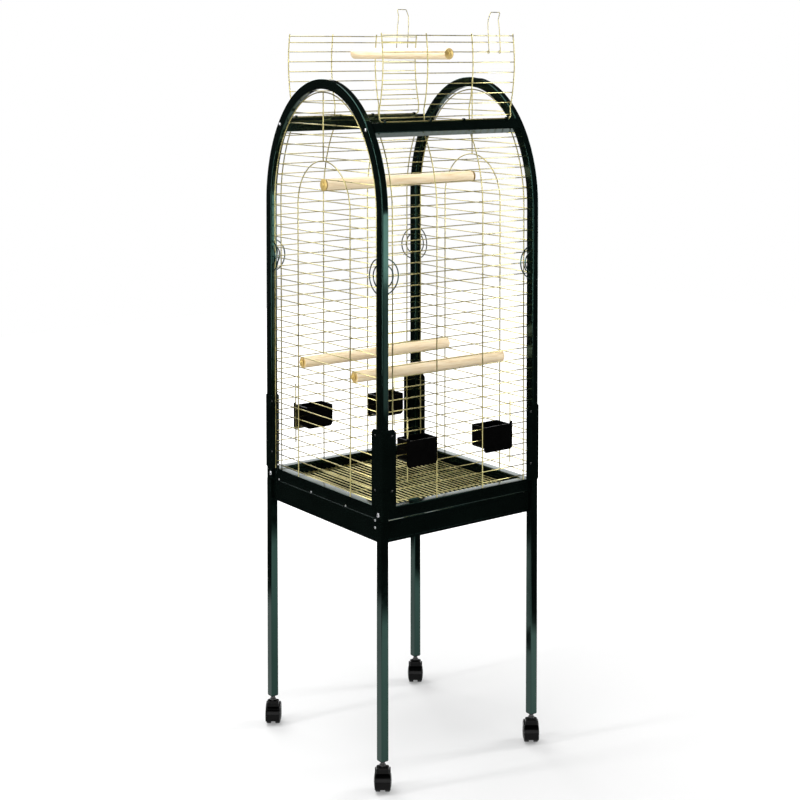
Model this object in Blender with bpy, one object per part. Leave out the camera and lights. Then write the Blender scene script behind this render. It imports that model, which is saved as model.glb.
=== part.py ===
"""Free-standing parrot cage: an arched tube frame with welded wire panels, on a four-legged stand with casters.

Units are metres, +Z is up and -Y is the front. The origin is on the floor, in the middle of the outline.
Every length below is the real one, and what seats on another piece takes its place from the same value.
"""

import math

import bmesh
import bpy
from mathutils import Matrix, Quaternion, Vector

# Fits
FIT = 0.0003
WELD = 0.0005
BOOLEAN_REACH = 0.005

# Casters
CASTER_HEIGHT = 0.080
CASTER_TRAIL = 0.014
CASTER_HEADING = math.radians(-36.7)
WHEEL_RADIUS = 0.025
WHEEL_SIDES = 16
WHEEL_INNER_X = 0.0055
WHEEL_TREAD_X = 0.0170
WHEEL_OUTER_X = 0.0205
AXLE_RADIUS = 0.0030
STEM_RADIUS = 0.0055
STEM_IN_PLUG = 0.018
STEM_IN_HOOD = 0.010
HOOD_TOP = 0.064
HOOD_WALL = 0.0030
HOOD_GAP = 0.0012
HOOD_HALF_WIDTH = 0.0185
HOOD_BOSS_HALF = 0.0155
HOOD_WEB_HALF = 0.0045
HOOD_STEP = math.radians(22.5)
HOOD_STEPS = 9

# Legs
LEG_SIDE = 0.020
LEG_WALL = 0.0012
LEG_CORNER = 0.0015
LEG_OUT_FROM_ARCH = 0.0005
LEG_TOP = 0.642
PLUG_DEPTH = 0.022
PLUG_FLANGE = 0.0017

# Base ring, skirts and drawer
SHEET = 0.0012
RING_OUT_FROM_ARCH = 0.0025
RING_BEHIND_ARCH = 0.010
RING_HEIGHT = 0.0297
RIM_FLANGE = 0.022
GRATE_LEDGE = 0.032
SKIRT_HEIGHT = 0.053
SKIRT_RUNNER = 0.026
SKIRT_RETURN = 0.008
BACK_FLANGE = 0.010
DRAWER_FRONT_HEIGHT = 0.044
DRAWER_FRONT_TOP = 0.641
DRAWER_SIDE_GAP = 0.002
DRAWER_TOP = 0.636
DRAWER_BACK_GAP = 0.004
DRAWER_CORNER = 0.006

# Arches
ARCH_X = 0.2285
ARCH_THICK = 0.018
ARCH_DEPTH = 0.025
ARCH_WALL = 0.0015
BAR_CORNER = 0.0015
ARCH_HALF_SPAN = 0.254
ARCH_SPRING = 1.352
ARCH_RISE = 0.3145
ARCH_STEPS = 24

# Cross-bars between the arches
BAR_WIDTH = 0.028
BAR_DEPTH = 0.025
BAR_IN_FROM_SPAN = 0.069
BAR_BELOW_CROWN = 0.1185
BAR_TILT = math.radians(33.83)
BAR_CLIP_X = (-0.186, -0.051, 0.051, 0.186)
BAR_CLIP_WIDTH = 0.006
HINGE_STANDOFF = 0.0027
HINGE_BELOW_EDGE = 0.0015

# Corner brackets
BRACKET_HEIGHT = 0.185
BRACKET_FRONT_WING = 0.039
BRACKET_SIDE_WING = 0.0435
BRACKET_CHAMFER = 0.008

# Wire panels
ROW_WIRE = 0.0024
UPRIGHT_WIRE = 0.0030
ROW_PITCH = 0.0264
FIRST_ROW = 0.6835
PANEL_PAST_INNER = 0.010
UPRIGHT_X = (-0.200, -0.070, 0.070, 0.200)
RIM_INSET = 0.0076
HAIRPIN_HALF = 0.1135
HAIRPIN_TOP = 1.467
HAIRPIN_STEPS = 12
BAR_APPROACH = 0.0005

# Rosettes beside each post
ROSETTE_Z = 1.213
ROSETTE_RADII = (0.042, 0.027)
ROSETTE_WIRE = 0.0030
ROSETTE_STEPS = 6
ROSETTE_ROOT = 0.001

# Cups and the openings they hang in
CUP_UPRIGHT_X = 0.070
CUP_STUB_X = 0.157
CUP_STUB_LOW = 0.723
CUP_STUB_HIGH = 0.876
CUP_CUT_ROWS = (4, 5)
CUP_SIDE_GAP = 0.002
CUP_DEPTH = 0.044
CUP_WALL = 0.0022
CUP_TOP = 0.820
CUP_PLATE_LOW = 0.757
CUP_PLATE_OVER = 0.004
CUP_EAR = 0.006
CUP_CORNER = 0.010

# Perches
PERCH_RADIUS = 0.014
PERCH_SIDES = 12
BOLT_RADIUS = 0.0025
SMALL_WASHER = 0.008
WIDE_WASHER = 0.0145
WASHER_THICK = 0.0015
PERCH_UPPER_Y = 0.0
PERCH_BACK_Y = 0.101
PERCH_FRONT_Y = -0.124
PERCH_UPPER_ROW = 27
PERCH_LOWER_ROW = 10

# Roof flaps
FLAP_KINK = (-0.0020, 0.0265)
FLAP_TIP = (0.0070, 0.2090)
FLAP_BULGE = 0.0105
FLAP_CHORDS = (0.025, 0.025, 0.025, 0.025, 0.025, 0.025, 0.022, 0.010)
FLAP_UPRIGHT_X = (-0.069, 0.069)
FLAP_EDGE_X = 0.200
FLAP_CORNER = 0.008
FLAP_FOOT_ROW = 0.36
TOP_PERCH_ROW = 5

# Latch hooks
LATCH_WIRE = 0.0020
LATCH_X = {"front": (0.120, 0.156), "back": (0.137, 0.173)}
LATCH_TAPER = 0.004
LATCH_REACH = {"front": 0.097, "back": 0.112}
LATCH_BEND = 0.018
LATCH_BEND_OUT = 0.008

# Grate
GRATE_ON_LEDGE = 0.007
GRATE_BAR_PAST = 0.003
GRATE_WIRE_PAST = 0.003
GRATE_WIRES = 30
GRATE_WIRE = 0.0024
GRATE_BAR_WIRE = 0.0034

# Rim clip
CLIP_X = (-0.141, -0.113)
CLIP_DEPTH = 0.014
CLIP_THICK = 0.0015
CLIP_LIP = 0.007

# Sizes that follow from the ones above
LEG_BOTTOM = CASTER_HEIGHT
RING_LOW = LEG_TOP + FIT
RING_TOP = RING_LOW + RING_HEIGHT
ARCH_FOOT = LEG_TOP + FIT
ARCH_INNER_SPAN = ARCH_HALF_SPAN - ARCH_DEPTH
ARCH_INNER_RISE = ARCH_RISE - ARCH_DEPTH
ARCH_INNER_X = ARCH_X - ARCH_THICK / 2
LEG_X = ARCH_X + LEG_OUT_FROM_ARCH
LEG_Y = ARCH_HALF_SPAN - ARCH_DEPTH / 2
RING_X = ARCH_X + RING_OUT_FROM_ARCH
RING_Y = ARCH_HALF_SPAN - RING_BEHIND_ARCH
DRAWER_HALF = LEG_X - LEG_SIDE / 2 - DRAWER_SIDE_GAP
GRATE_HALF_X = RING_X - GRATE_LEDGE + GRATE_ON_LEDGE
GRATE_END_Y = RING_Y - GRATE_LEDGE + GRATE_ON_LEDGE
GRATE_PITCH = 2 * (GRATE_HALF_X - GRATE_BAR_PAST) / (GRATE_WIRES - 1)
GRATE_BAR_Y = (GRATE_WIRE_PAST - GRATE_END_Y, 0.0, GRATE_END_Y - GRATE_WIRE_PAST)
BAR_Y = ARCH_HALF_SPAN - BAR_IN_FROM_SPAN
BAR_Z = ARCH_SPRING + ARCH_RISE - BAR_BELOW_CROWN
PANEL_X = ARCH_X
PANEL_Y = ARCH_INNER_SPAN + PANEL_PAST_INNER
PANEL_HALF_X = ARCH_INNER_X - FIT
PANEL_HALF_Y = ARCH_INNER_SPAN - FIT
PANEL_FOOT = RING_TOP + FIT


def flat_half(diameter):
    """Half the diagonal of a square wire with the same section area as a round one."""
    return diameter / 2 * math.sqrt(math.pi / 2)


ROW_HALF = flat_half(ROW_WIRE)
UPRIGHT_HALF = flat_half(UPRIGHT_WIRE)
LAYER = ROW_HALF + UPRIGHT_HALF - WELD
UPRIGHT_Y = PANEL_Y + LAYER
UPRIGHT_FACE_Y = UPRIGHT_Y + UPRIGHT_HALF
SIDE_UPRIGHT_X = PANEL_X + LAYER

# The stand is set back by the casters' trail, so that the outline is centred on the origin
FRAME_SHIFT = Vector((CASTER_TRAIL * math.sin(CASTER_HEADING), -CASTER_TRAIL * math.cos(CASTER_HEADING), 0))


def clear_scene():
    for obj in list(bpy.data.objects):
        bpy.data.objects.remove(obj, do_unlink=True)


def material(name, colour, roughness, metallic=0.0):
    made = bpy.data.materials.new(name)
    made.use_nodes = True
    shader = made.node_tree.nodes["Principled BSDF"]
    shader.inputs["Base Color"].default_value = (*colour, 1)
    shader.inputs["Roughness"].default_value = roughness
    shader.inputs["Metallic"].default_value = metallic
    made.diffuse_color = (*colour, 1)
    return made


def new_object(name, bm, finish, at=(0, 0, 0), turn=0.0, parent=None, smooth=30):
    """Turns a bmesh into a named object. `at` and `turn` place it under its parent."""
    bmesh.ops.recalc_face_normals(bm, faces=bm.faces)
    mesh = bpy.data.meshes.new(name)
    bm.to_mesh(mesh)
    bm.free()
    mesh.shade_smooth()
    mesh.set_sharp_from_angle(angle=math.radians(smooth))
    obj = bpy.data.objects.new(name, mesh)
    if finish:
        mesh.materials.append(finish)
    obj.location = at
    obj.rotation_euler = (0, 0, turn)
    obj.parent = parent
    bpy.context.scene.collection.objects.link(obj)
    return obj


def combine(obj, bm, operation, name):
    """Joins or cuts with a helper shape that shares the object's place."""
    helper = new_object(name, bm, None, obj.location, obj.rotation_euler.z, obj.parent)
    helper.hide_render = True
    helper.display_type = "WIRE"
    modifier = obj.modifiers.new(name, "BOOLEAN")
    modifier.operation = operation
    modifier.solver = "EXACT"
    modifier.object = helper
    return obj


def empty(name, at=(0, 0, 0), turn=0.0, parent=None):
    obj = bpy.data.objects.new(name, None)
    obj.location = at
    obj.rotation_euler = (0, 0, turn)
    obj.parent = parent
    bpy.context.scene.collection.objects.link(obj)
    return obj


def extrude_outline(bm, outline, direction):
    """A prism: an outline of points, closed by a copy moved along direction."""
    near = [bm.verts.new(point) for point in outline]
    far = [bm.verts.new(Vector(point) + Vector(direction)) for point in outline]
    bm.faces.new(near)
    bm.faces.new(reversed(far))
    for i in range(len(near)):
        j = (i + 1) % len(near)
        bm.faces.new((near[j], near[i], far[i], far[j]))


def box(bm, low, high):
    outline = [(low[0], low[1], low[2]), (high[0], low[1], low[2]),
               (high[0], high[1], low[2]), (low[0], high[1], low[2])]
    extrude_outline(bm, outline, (0, 0, high[2] - low[2]))


def chamfered(width, height, cut):
    """The corners of a rectangle about the origin with its corners cut."""
    x, y = width / 2, height / 2
    return [(x, -y + cut), (x, y - cut), (x - cut, y), (-x + cut, y),
            (-x, y - cut), (-x, -y + cut), (-x + cut, -y), (x - cut, -y)]


def lathe(bm, profile, sides, axis="Z", centre=(0, 0, 0), phase=0.0):
    """Turns (radius, height) points about an axis. A point of radius 0 closes an end."""
    turn = {"Z": Matrix.Identity(3), "X": Matrix(((0, 0, 1), (1, 0, 0), (0, 1, 0))),
            "Y": Matrix(((0, 1, 0), (0, 0, 1), (1, 0, 0)))}[axis]
    rings = []
    for radius, height in profile:
        count = sides if radius > 0 else 1
        ring = []
        for k in range(count):
            angle = phase + 2 * math.pi * k / sides
            point = Vector((radius * math.cos(angle), radius * math.sin(angle), height))
            ring.append(bm.verts.new(turn @ point + Vector(centre)))
        rings.append(ring)
    for low, high in zip(rings, rings[1:]):
        for k in range(sides):
            corners = [low[k % len(low)], low[(k + 1) % len(low)], high[(k + 1) % len(high)], high[k % len(high)]]
            bm.faces.new(list(dict.fromkeys(corners)))


def sweep(bm, path, outward, half, sides=4, closed=False):
    """A wire along a polyline. One edge of its section faces outward, and its bends are mitred."""
    count = len(path)
    spans = count if closed else count - 1
    along = [(path[(i + 1) % count] - path[i]).normalized() for i in range(spans)]
    outs = [(outward - along[0] * outward.dot(along[0])).normalized()]
    for before, after in zip(along, along[1:]):
        outs.append(before.rotation_difference(after) @ outs[-1])
    rings = []
    for i, point in enumerate(path):
        span = min(i, spans - 1)
        out = outs[span]
        side = along[span].cross(out)
        mitre = along[span]
        if closed or 0 < i < count - 1:
            mitre = (along[i - 1] + along[i]).normalized()
        ring = []
        for k in range(sides):
            angle = 2 * math.pi * k / sides
            offset = (out * math.cos(angle) + side * math.sin(angle)) * half
            offset -= along[span] * (offset.dot(mitre) / along[span].dot(mitre))
            ring.append(bm.verts.new(point + offset))
        rings.append(ring)
    for i in range(spans):
        low, high = rings[i], rings[(i + 1) % count]
        for k in range(sides):
            bm.faces.new((low[k], low[(k + 1) % sides], high[(k + 1) % sides], high[k]))
    if not closed:
        bm.faces.new(reversed(rings[0]))
        bm.faces.new(rings[-1])


def arc(centre, radius, first, last, steps):
    """Points (a, b) on a circle, from the first angle to the last."""
    angles = [first + (last - first) * k / steps for k in range(steps + 1)]
    return [(centre[0] + radius * math.cos(t), centre[1] + radius * math.sin(t)) for t in angles]


def ellipse(half_span, rise, angle):
    """A point (y, z) on an arch's half ellipse, with the angle counted from its spring."""
    return half_span * math.cos(angle), ARCH_SPRING + rise * math.sin(angle)


# Casters

def caster_axle_z():
    return WHEEL_RADIUS


def caster_hood(finish, name, parent):
    """Hood over the twin wheels, with a web down to the axle and a boss for the stem."""
    axle = (CASTER_TRAIL, caster_axle_z())
    inner = WHEEL_RADIUS / math.cos(math.pi / WHEEL_SIDES) + HOOD_GAP
    outer = inner + HOOD_WALL
    front = HOOD_STEP * HOOD_STEPS
    band = arc(axle, outer, 0, front, HOOD_STEPS)
    band += arc(axle, inner, front, 0, HOOD_STEPS)
    bm = bmesh.new()
    extrude_outline(bm, [(-HOOD_HALF_WIDTH, y, z) for y, z in band], (2 * HOOD_HALF_WIDTH, 0, 0))
    hood = new_object(name, bm, finish, parent=parent, smooth=40)

    boss = bmesh.new()
    top = HOOD_BOSS_HALF - 0.002
    low_z = axle[1] + inner + FIT
    levels = ((HOOD_BOSS_HALF, 0.0125, low_z), (HOOD_BOSS_HALF, 0.0125, HOOD_TOP - 0.003), (top, 0.0105, HOOD_TOP))
    rings = [[boss.verts.new((sx * x, sy * y, z)) for sx, sy in ((1, 1), (-1, 1), (-1, -1), (1, -1))]
             for x, y, z in levels]
    for low, high in zip(rings, rings[1:]):
        for k in range(4):
            boss.faces.new((low[k], low[(k + 1) % 4], high[(k + 1) % 4], high[k]))
    boss.faces.new(rings[0])
    boss.faces.new(rings[-1])
    combine(hood, boss, "UNION", name + "_boss")

    web = bmesh.new()
    web_outline = arc(axle, inner + HOOD_WALL / 2, HOOD_STEP / 2, front - HOOD_STEP / 2, 6)
    web_outline += [(axle[0] - 0.004, axle[1] - 0.008), (axle[0] + 0.004, axle[1] - 0.008)]
    extrude_outline(web, [(-HOOD_WEB_HALF, y, z) for y, z in web_outline], (2 * HOOD_WEB_HALF, 0, 0))
    combine(hood, web, "UNION", name + "_web")

    bores = bmesh.new()
    stem_bore = (STEM_RADIUS + FIT) / math.cos(math.pi / 12)
    stem_end = HOOD_TOP - STEM_IN_HOOD
    lathe(bores, [(0, stem_end), (stem_bore, stem_end), (stem_bore, HOOD_TOP + BOOLEAN_REACH),
                  (0, HOOD_TOP + BOOLEAN_REACH)], 12)
    axle_bore = (AXLE_RADIUS + FIT) / math.cos(math.pi / 10)
    reach = HOOD_WEB_HALF + BOOLEAN_REACH
    lathe(bores, [(0, -reach), (axle_bore, -reach), (axle_bore, reach), (0, reach)], 10, "X",
          (0, CASTER_TRAIL, caster_axle_z()))
    combine(hood, bores, "DIFFERENCE", name + "_bores")
    return hood


def caster_wheel(finish, name, side, parent):
    """One wheel of the twin: tread, domed cover and a blind bore. A flat of its rim rests on the floor."""
    rim = WHEEL_RADIUS / math.cos(math.pi / WHEEL_SIDES)
    bore = (AXLE_RADIUS + FIT) / math.cos(math.pi / WHEEL_SIDES)
    edge = 0.0015
    profile = [(0, WHEEL_TREAD_X - 0.003), (bore, WHEEL_TREAD_X - 0.003), (bore, WHEEL_INNER_X),
               (rim - edge, WHEEL_INNER_X), (rim, WHEEL_INNER_X + edge), (rim, WHEEL_TREAD_X),
               (rim * 0.62, WHEEL_OUTER_X), (0, WHEEL_OUTER_X + 0.0005)]
    bm = bmesh.new()
    lathe(bm, [(radius, side * x) for radius, x in profile], WHEEL_SIDES, "X", phase=math.pi / WHEEL_SIDES)
    return new_object(name, bm, finish, (0, CASTER_TRAIL, caster_axle_z()), parent=parent, smooth=40)


def casters(finishes, frame):
    """Four twin-wheel casters. Each hood turns about its stem, and each wheel about the axle."""
    for place, x, y in (("front_left", -LEG_X, -LEG_Y), ("front_right", LEG_X, -LEG_Y),
                        ("back_left", -LEG_X, LEG_Y), ("back_right", LEG_X, LEG_Y)):
        stem = bmesh.new()
        low = HOOD_TOP - STEM_IN_HOOD + FIT
        high = LEG_BOTTOM + STEM_IN_PLUG
        tip = 0.0015
        lathe(stem, [(0, low), (STEM_RADIUS - tip, low), (STEM_RADIUS, low + tip), (STEM_RADIUS, high - tip),
                     (STEM_RADIUS - tip, high), (0, high)], 12)
        new_object(f"caster_stem_{place}", stem, finishes["steel"], (x, y, 0), parent=frame)
        swivel = empty(f"caster_swivel_{place}", (x, y, 0), CASTER_HEADING, frame)
        caster_hood(finishes["plastic"], f"caster_hood_{place}", swivel)
        axle = bmesh.new()
        reach = WHEEL_TREAD_X - 0.003 - FIT
        lathe(axle, [(0, -reach), (AXLE_RADIUS, -reach), (AXLE_RADIUS, reach), (0, reach)], 10, "X")
        new_object(f"caster_axle_{place}", axle, finishes["steel"], (0, CASTER_TRAIL, caster_axle_z()),
                   parent=swivel)
        for side, label in ((-1, "a"), (1, "b")):
            caster_wheel(finishes["plastic"], f"caster_wheel_{place}_{label}", side, swivel)


# Stand

def legs(finishes, frame):
    """Square tubes with a plastic plug in each lower end, bored for the caster's stem."""
    for place, x, y in (("front_left", -LEG_X, -LEG_Y), ("front_right", LEG_X, -LEG_Y),
                        ("back_left", -LEG_X, LEG_Y), ("back_right", LEG_X, LEG_Y)):
        bm = bmesh.new()
        outline = [(a, b, LEG_BOTTOM) for a, b in chamfered(LEG_SIDE, LEG_SIDE, LEG_CORNER)]
        extrude_outline(bm, outline, (0, 0, LEG_TOP - LEG_BOTTOM))
        leg = new_object(f"leg_{place}", bm, finishes["enamel"], (x, y, 0), parent=frame, smooth=50)
        core = bmesh.new()
        inside = LEG_SIDE / 2 - LEG_WALL
        box(core, (-inside, -inside, LEG_BOTTOM - BOOLEAN_REACH), (inside, inside, LEG_TOP + BOOLEAN_REACH))
        combine(leg, core, "DIFFERENCE", f"leg_core_{place}")

        plug = bmesh.new()
        body = inside - FIT
        flange = LEG_SIDE / 2 - FIT
        levels = [(flange, LEG_BOTTOM - FIT - PLUG_FLANGE), (flange, LEG_BOTTOM - FIT), (body, LEG_BOTTOM - FIT),
                  (body, LEG_BOTTOM + PLUG_DEPTH)]
        rings = [[plug.verts.new((sx * h, sy * h, z)) for sx, sy in ((1, 1), (-1, 1), (-1, -1), (1, -1))]
                 for h, z in levels]
        for low, high in zip(rings, rings[1:]):
            for k in range(4):
                plug.faces.new((low[k], low[(k + 1) % 4], high[(k + 1) % 4], high[k]))
        plug.faces.new(rings[0])
        plug.faces.new(rings[-1])
        made = new_object(f"leg_plug_{place}", plug, finishes["plastic"], (x, y, 0), parent=frame)
        bore = bmesh.new()
        radius = (STEM_RADIUS + FIT) / math.cos(math.pi / 12)
        low, high = LEG_BOTTOM - PLUG_FLANGE - BOOLEAN_REACH, LEG_BOTTOM + PLUG_DEPTH + BOOLEAN_REACH
        lathe(bore, [(0, low), (radius, low), (radius, high), (0, high)], 12)
        combine(made, bore, "DIFFERENCE", f"leg_plug_bore_{place}")


def ring_outline(inset):
    """The base ring's plan: a rectangle whose corners are notched round the arch tubes."""
    x, y = RING_X - inset, RING_Y - inset
    notch_x, notch_y = PANEL_HALF_X - inset, PANEL_HALF_Y - inset
    quarter = [(x, notch_y), (notch_x, notch_y), (notch_x, y)]
    outline = list(quarter)
    outline += [(-a, b) for a, b in reversed(quarter)]
    outline += [(-a, -b) for a, b in quarter]
    outline += [(a, -b) for a, b in reversed(quarter)]
    return outline


def base_ring(finishes, frame):
    """Folded sheet band: the wall, the rim flange that the panels stand on and the ledge under the grate."""
    bm = bmesh.new()
    extrude_outline(bm, [(a, b, RING_LOW) for a, b in ring_outline(0)], (0, 0, RING_HEIGHT))
    ring = new_object("base_ring", bm, finishes["enamel"], parent=frame)
    cavity = bmesh.new()
    height = RING_HEIGHT - 2 * SHEET
    extrude_outline(cavity, [(a, b, RING_LOW + SHEET) for a, b in ring_outline(SHEET)], (0, 0, height))
    combine(ring, cavity, "DIFFERENCE", "ring_cavity")
    mouths = bmesh.new()
    rim_x, rim_y = RING_X - RIM_FLANGE, RING_Y - RIM_FLANGE
    middle = RING_LOW + RING_HEIGHT / 2
    box(mouths, (-rim_x, -rim_y, middle), (rim_x, rim_y, RING_TOP + BOOLEAN_REACH))
    combine(ring, mouths, "DIFFERENCE", "ring_rim_mouth")
    below = bmesh.new()
    ledge_x, ledge_y = RING_X - GRATE_LEDGE, RING_Y - GRATE_LEDGE
    box(below, (-ledge_x, -ledge_y, RING_LOW - BOOLEAN_REACH), (ledge_x, ledge_y, middle + BOOLEAN_REACH))
    combine(ring, below, "DIFFERENCE", "ring_ledge_mouth")


def channel(wall_face, inward, low, high, runner, top):
    """A folded channel's section as (across, z), its wall's outer face at wall_face."""
    s = inward
    return [(wall_face, low), (wall_face, high), (wall_face + s * top, high), (wall_face + s * top, high - SHEET),
            (wall_face + s * SHEET, high - SHEET), (wall_face + s * SHEET, low + SHEET),
            (wall_face + s * runner, low + SHEET), (wall_face + s * runner, low)]


def skirts(finishes, frame):
    """Three folded channels under the ring. The side ones carry the drawer on their lower flanges."""
    low, high = LEG_TOP - SKIRT_HEIGHT, LEG_TOP
    half_y = LEG_Y - LEG_SIDE / 2 - FIT
    half_x = LEG_X - LEG_SIDE / 2 - FIT
    for name, side in (("left", -1), ("right", 1)):
        bm = bmesh.new()
        section = channel(side * RING_X, -side, low, high, SKIRT_RUNNER, SKIRT_RETURN)
        extrude_outline(bm, [(a, -half_y, z) for a, z in section], (0, 2 * half_y, 0))
        new_object(f"skirt_{name}", bm, finishes["enamel"], parent=frame)
    bm = bmesh.new()
    section = channel(RING_Y, -1, low, high, BACK_FLANGE, SKIRT_RETURN)
    extrude_outline(bm, [(-half_x, a, z) for a, z in section], (2 * half_x, 0, 0))
    new_object("skirt_back", bm, finishes["enamel"], parent=frame)


def drawer(finishes, frame):
    """Sheet tray that slides out to the front between the legs, with its front plate standing proud."""
    floor = LEG_TOP - SKIRT_HEIGHT + SHEET + FIT
    front = -RING_Y + SHEET
    back = RING_Y - DRAWER_BACK_GAP
    bm = bmesh.new()
    box(bm, (-DRAWER_HALF, front - SHEET / 2, floor), (DRAWER_HALF, back, DRAWER_TOP))
    tray = new_object("drawer", bm, finishes["enamel"], parent=frame)
    inside = bmesh.new()
    box(inside, (-DRAWER_HALF + SHEET, front + SHEET, floor + SHEET),
        (DRAWER_HALF - SHEET, back - SHEET, DRAWER_TOP + BOOLEAN_REACH))
    combine(tray, inside, "DIFFERENCE", "drawer_inside")
    plate = bmesh.new()
    half = LEG_X - LEG_SIDE / 2 - FIT
    box(plate, (-half, -RING_Y, DRAWER_FRONT_TOP - DRAWER_FRONT_HEIGHT), (half, front, DRAWER_FRONT_TOP))
    combine(tray, plate, "UNION", "drawer_front_plate")


def grate(finishes, frame):
    """Welded wire floor that lies on the ring's ledge."""
    long_half = flat_half(GRATE_WIRE)
    bar_half = flat_half(GRATE_BAR_WIRE)
    bar_z = RING_LOW + SHEET + FIT + bar_half
    long_z = bar_z + bar_half + long_half - WELD
    up = Vector((0, 0, 1))
    bm = bmesh.new()
    first = -GRATE_PITCH * (GRATE_WIRES - 1) / 2
    for k in range(GRATE_WIRES):
        x = first + k * GRATE_PITCH
        sweep(bm, [Vector((x, -GRATE_END_Y, long_z)), Vector((x, GRATE_END_Y, long_z))], up, long_half)
    made = new_object("grate", bm, finishes["wire"], parent=frame)
    bars = bmesh.new()
    for y in GRATE_BAR_Y:
        sweep(bars, [Vector((-GRATE_HALF_X, y, bar_z)), Vector((GRATE_HALF_X, y, bar_z))], up, bar_half)
    combine(made, bars, "UNION", "grate_bars")


def rim_clip(finishes, frame):
    """Small folded clip on the front of the rim."""
    low = RING_TOP + FIT
    front = -RING_Y + 0.0035
    section = [(front, low), (front + CLIP_DEPTH, low), (front + CLIP_DEPTH, low + CLIP_LIP),
               (front + CLIP_DEPTH - CLIP_THICK, low + CLIP_LIP), (front + CLIP_DEPTH - CLIP_THICK, low + CLIP_THICK),
               (front, low + CLIP_THICK)]
    bm = bmesh.new()
    extrude_outline(bm, [(CLIP_X[0], y, z) for y, z in section], (CLIP_X[1] - CLIP_X[0], 0, 0))
    new_object("rim_clip", bm, finishes["enamel"], parent=frame)


# Frame of the cage

def arch_rings(bm, half_width, outer_inset, inner_inset, foot):
    """Rings of the arch tube's section from one foot over the top to the other."""
    angles = [0] + [math.pi * k / ARCH_STEPS for k in range(ARCH_STEPS + 1)] + [math.pi]
    half_depth = (ARCH_DEPTH - outer_inset - inner_inset) / 2
    section = [(half_width, half_depth), (-half_width, half_depth), (-half_width, -half_depth),
               (half_width, -half_depth)]
    rings = []
    for index, angle in enumerate(angles):
        inner = Vector(ellipse(ARCH_INNER_SPAN, ARCH_INNER_RISE, angle))
        out = Vector((math.cos(angle), math.sin(angle)))
        middle = inner + out * (ARCH_DEPTH - outer_inset + inner_inset) / 2
        ring = []
        for across, depth in section:
            point = middle + out * depth
            z = foot if index in (0, len(angles) - 1) else point.y
            ring.append(bm.verts.new((across, point.x, z)))
        rings.append(ring)
    count = len(section)
    for low, high in zip(rings, rings[1:]):
        for k in range(count):
            bm.faces.new((low[k], low[(k + 1) % count], high[(k + 1) % count], high[k]))
    bm.faces.new(rings[0])
    bm.faces.new(rings[-1])


def arch_inner_half(z):
    """Half the width between the arch tube's inner faces at a height."""
    points = [ellipse(ARCH_INNER_SPAN, ARCH_INNER_RISE, math.pi * k / ARCH_STEPS) for k in range(ARCH_STEPS // 2 + 1)]
    for (low_y, low_z), (high_y, high_z) in zip(points, points[1:]):
        if low_z <= z <= high_z:
            return low_y + (high_y - low_y) * (z - low_z) / (high_z - low_z)
    return ARCH_INNER_SPAN


def half_ring(bm, centre, across, radius, root, out):
    """A half circle of wire that starts and ends at `root` from its centre, measured along `across`."""
    last = math.acos(root / radius)
    points = [centre + across * (radius * math.cos(t)) + Vector((0, 0, radius * math.sin(t)))
              for t in (last - 2 * last * k / ROSETTE_STEPS for k in range(ROSETTE_STEPS + 1))]
    sweep(bm, points, out, flat_half(ROSETTE_WIRE))


def rosettes(bm, side):
    """Two half rings beside each post, on the panel of the front or back and on the side panel."""
    wire = flat_half(ROSETTE_WIRE)
    face_y = UPRIGHT_FACE_Y + FIT + wire
    face_x = SIDE_UPRIGHT_X + UPRIGHT_HALF + FIT + wire
    post_y = ARCH_HALF_SPAN - ARCH_DEPTH / 2
    for end in (-1, 1):
        for radius in ROSETTE_RADII:
            on_front = Vector((0, end * face_y, ROSETTE_Z))
            root = ARCH_THICK / 2 - ROSETTE_ROOT
            half_ring(bm, on_front, Vector((-side, 0, 0)), radius, root, Vector((0, end, 0)))
            on_side = Vector((side * (face_x - ARCH_X), end * post_y, ROSETTE_Z))
            root = ARCH_DEPTH / 2 - ROSETTE_ROOT
            half_ring(bm, on_side, Vector((0, -end, 0)), radius, root, Vector((side, 0, 0)))


def arches(finishes, frame):
    """Two bent rectangular tubes, each from a front leg over the top to a back leg."""
    for name, side in (("left", -1), ("right", 1)):
        bm = bmesh.new()
        arch_rings(bm, ARCH_THICK / 2, 0, 0, ARCH_FOOT)
        tube = new_object(f"arch_{name}", bm, finishes["enamel"], (side * ARCH_X, 0, 0), parent=frame, smooth=32)
        core = bmesh.new()
        arch_rings(core, ARCH_THICK / 2 - ARCH_WALL, ARCH_WALL, ARCH_WALL, ARCH_FOOT - BOOLEAN_REACH)
        combine(tube, core, "DIFFERENCE", f"arch_core_{name}")
        rings = bmesh.new()
        rosettes(rings, side)
        combine(tube, rings, "UNION", f"arch_rosettes_{name}")


def bar_frame(end):
    """The bar's centre, its outward normal and its upward tangent, for the front (-1) or back (1)."""
    centre = Vector((0, end * BAR_Y, BAR_Z))
    normal = Vector((0, end * math.cos(BAR_TILT), math.sin(BAR_TILT)))
    tangent = Vector((0, -end * math.sin(BAR_TILT), math.cos(BAR_TILT)))
    return centre, normal, tangent


def hinge_axis(end):
    """The line that a flap turns about, just off the outer edge of its bar."""
    centre, normal, tangent = bar_frame(end)
    return (centre + normal * (BAR_DEPTH / 2 + HINGE_STANDOFF)
            + tangent * (BAR_WIDTH / 2 - HINGE_BELOW_EDGE))


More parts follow.
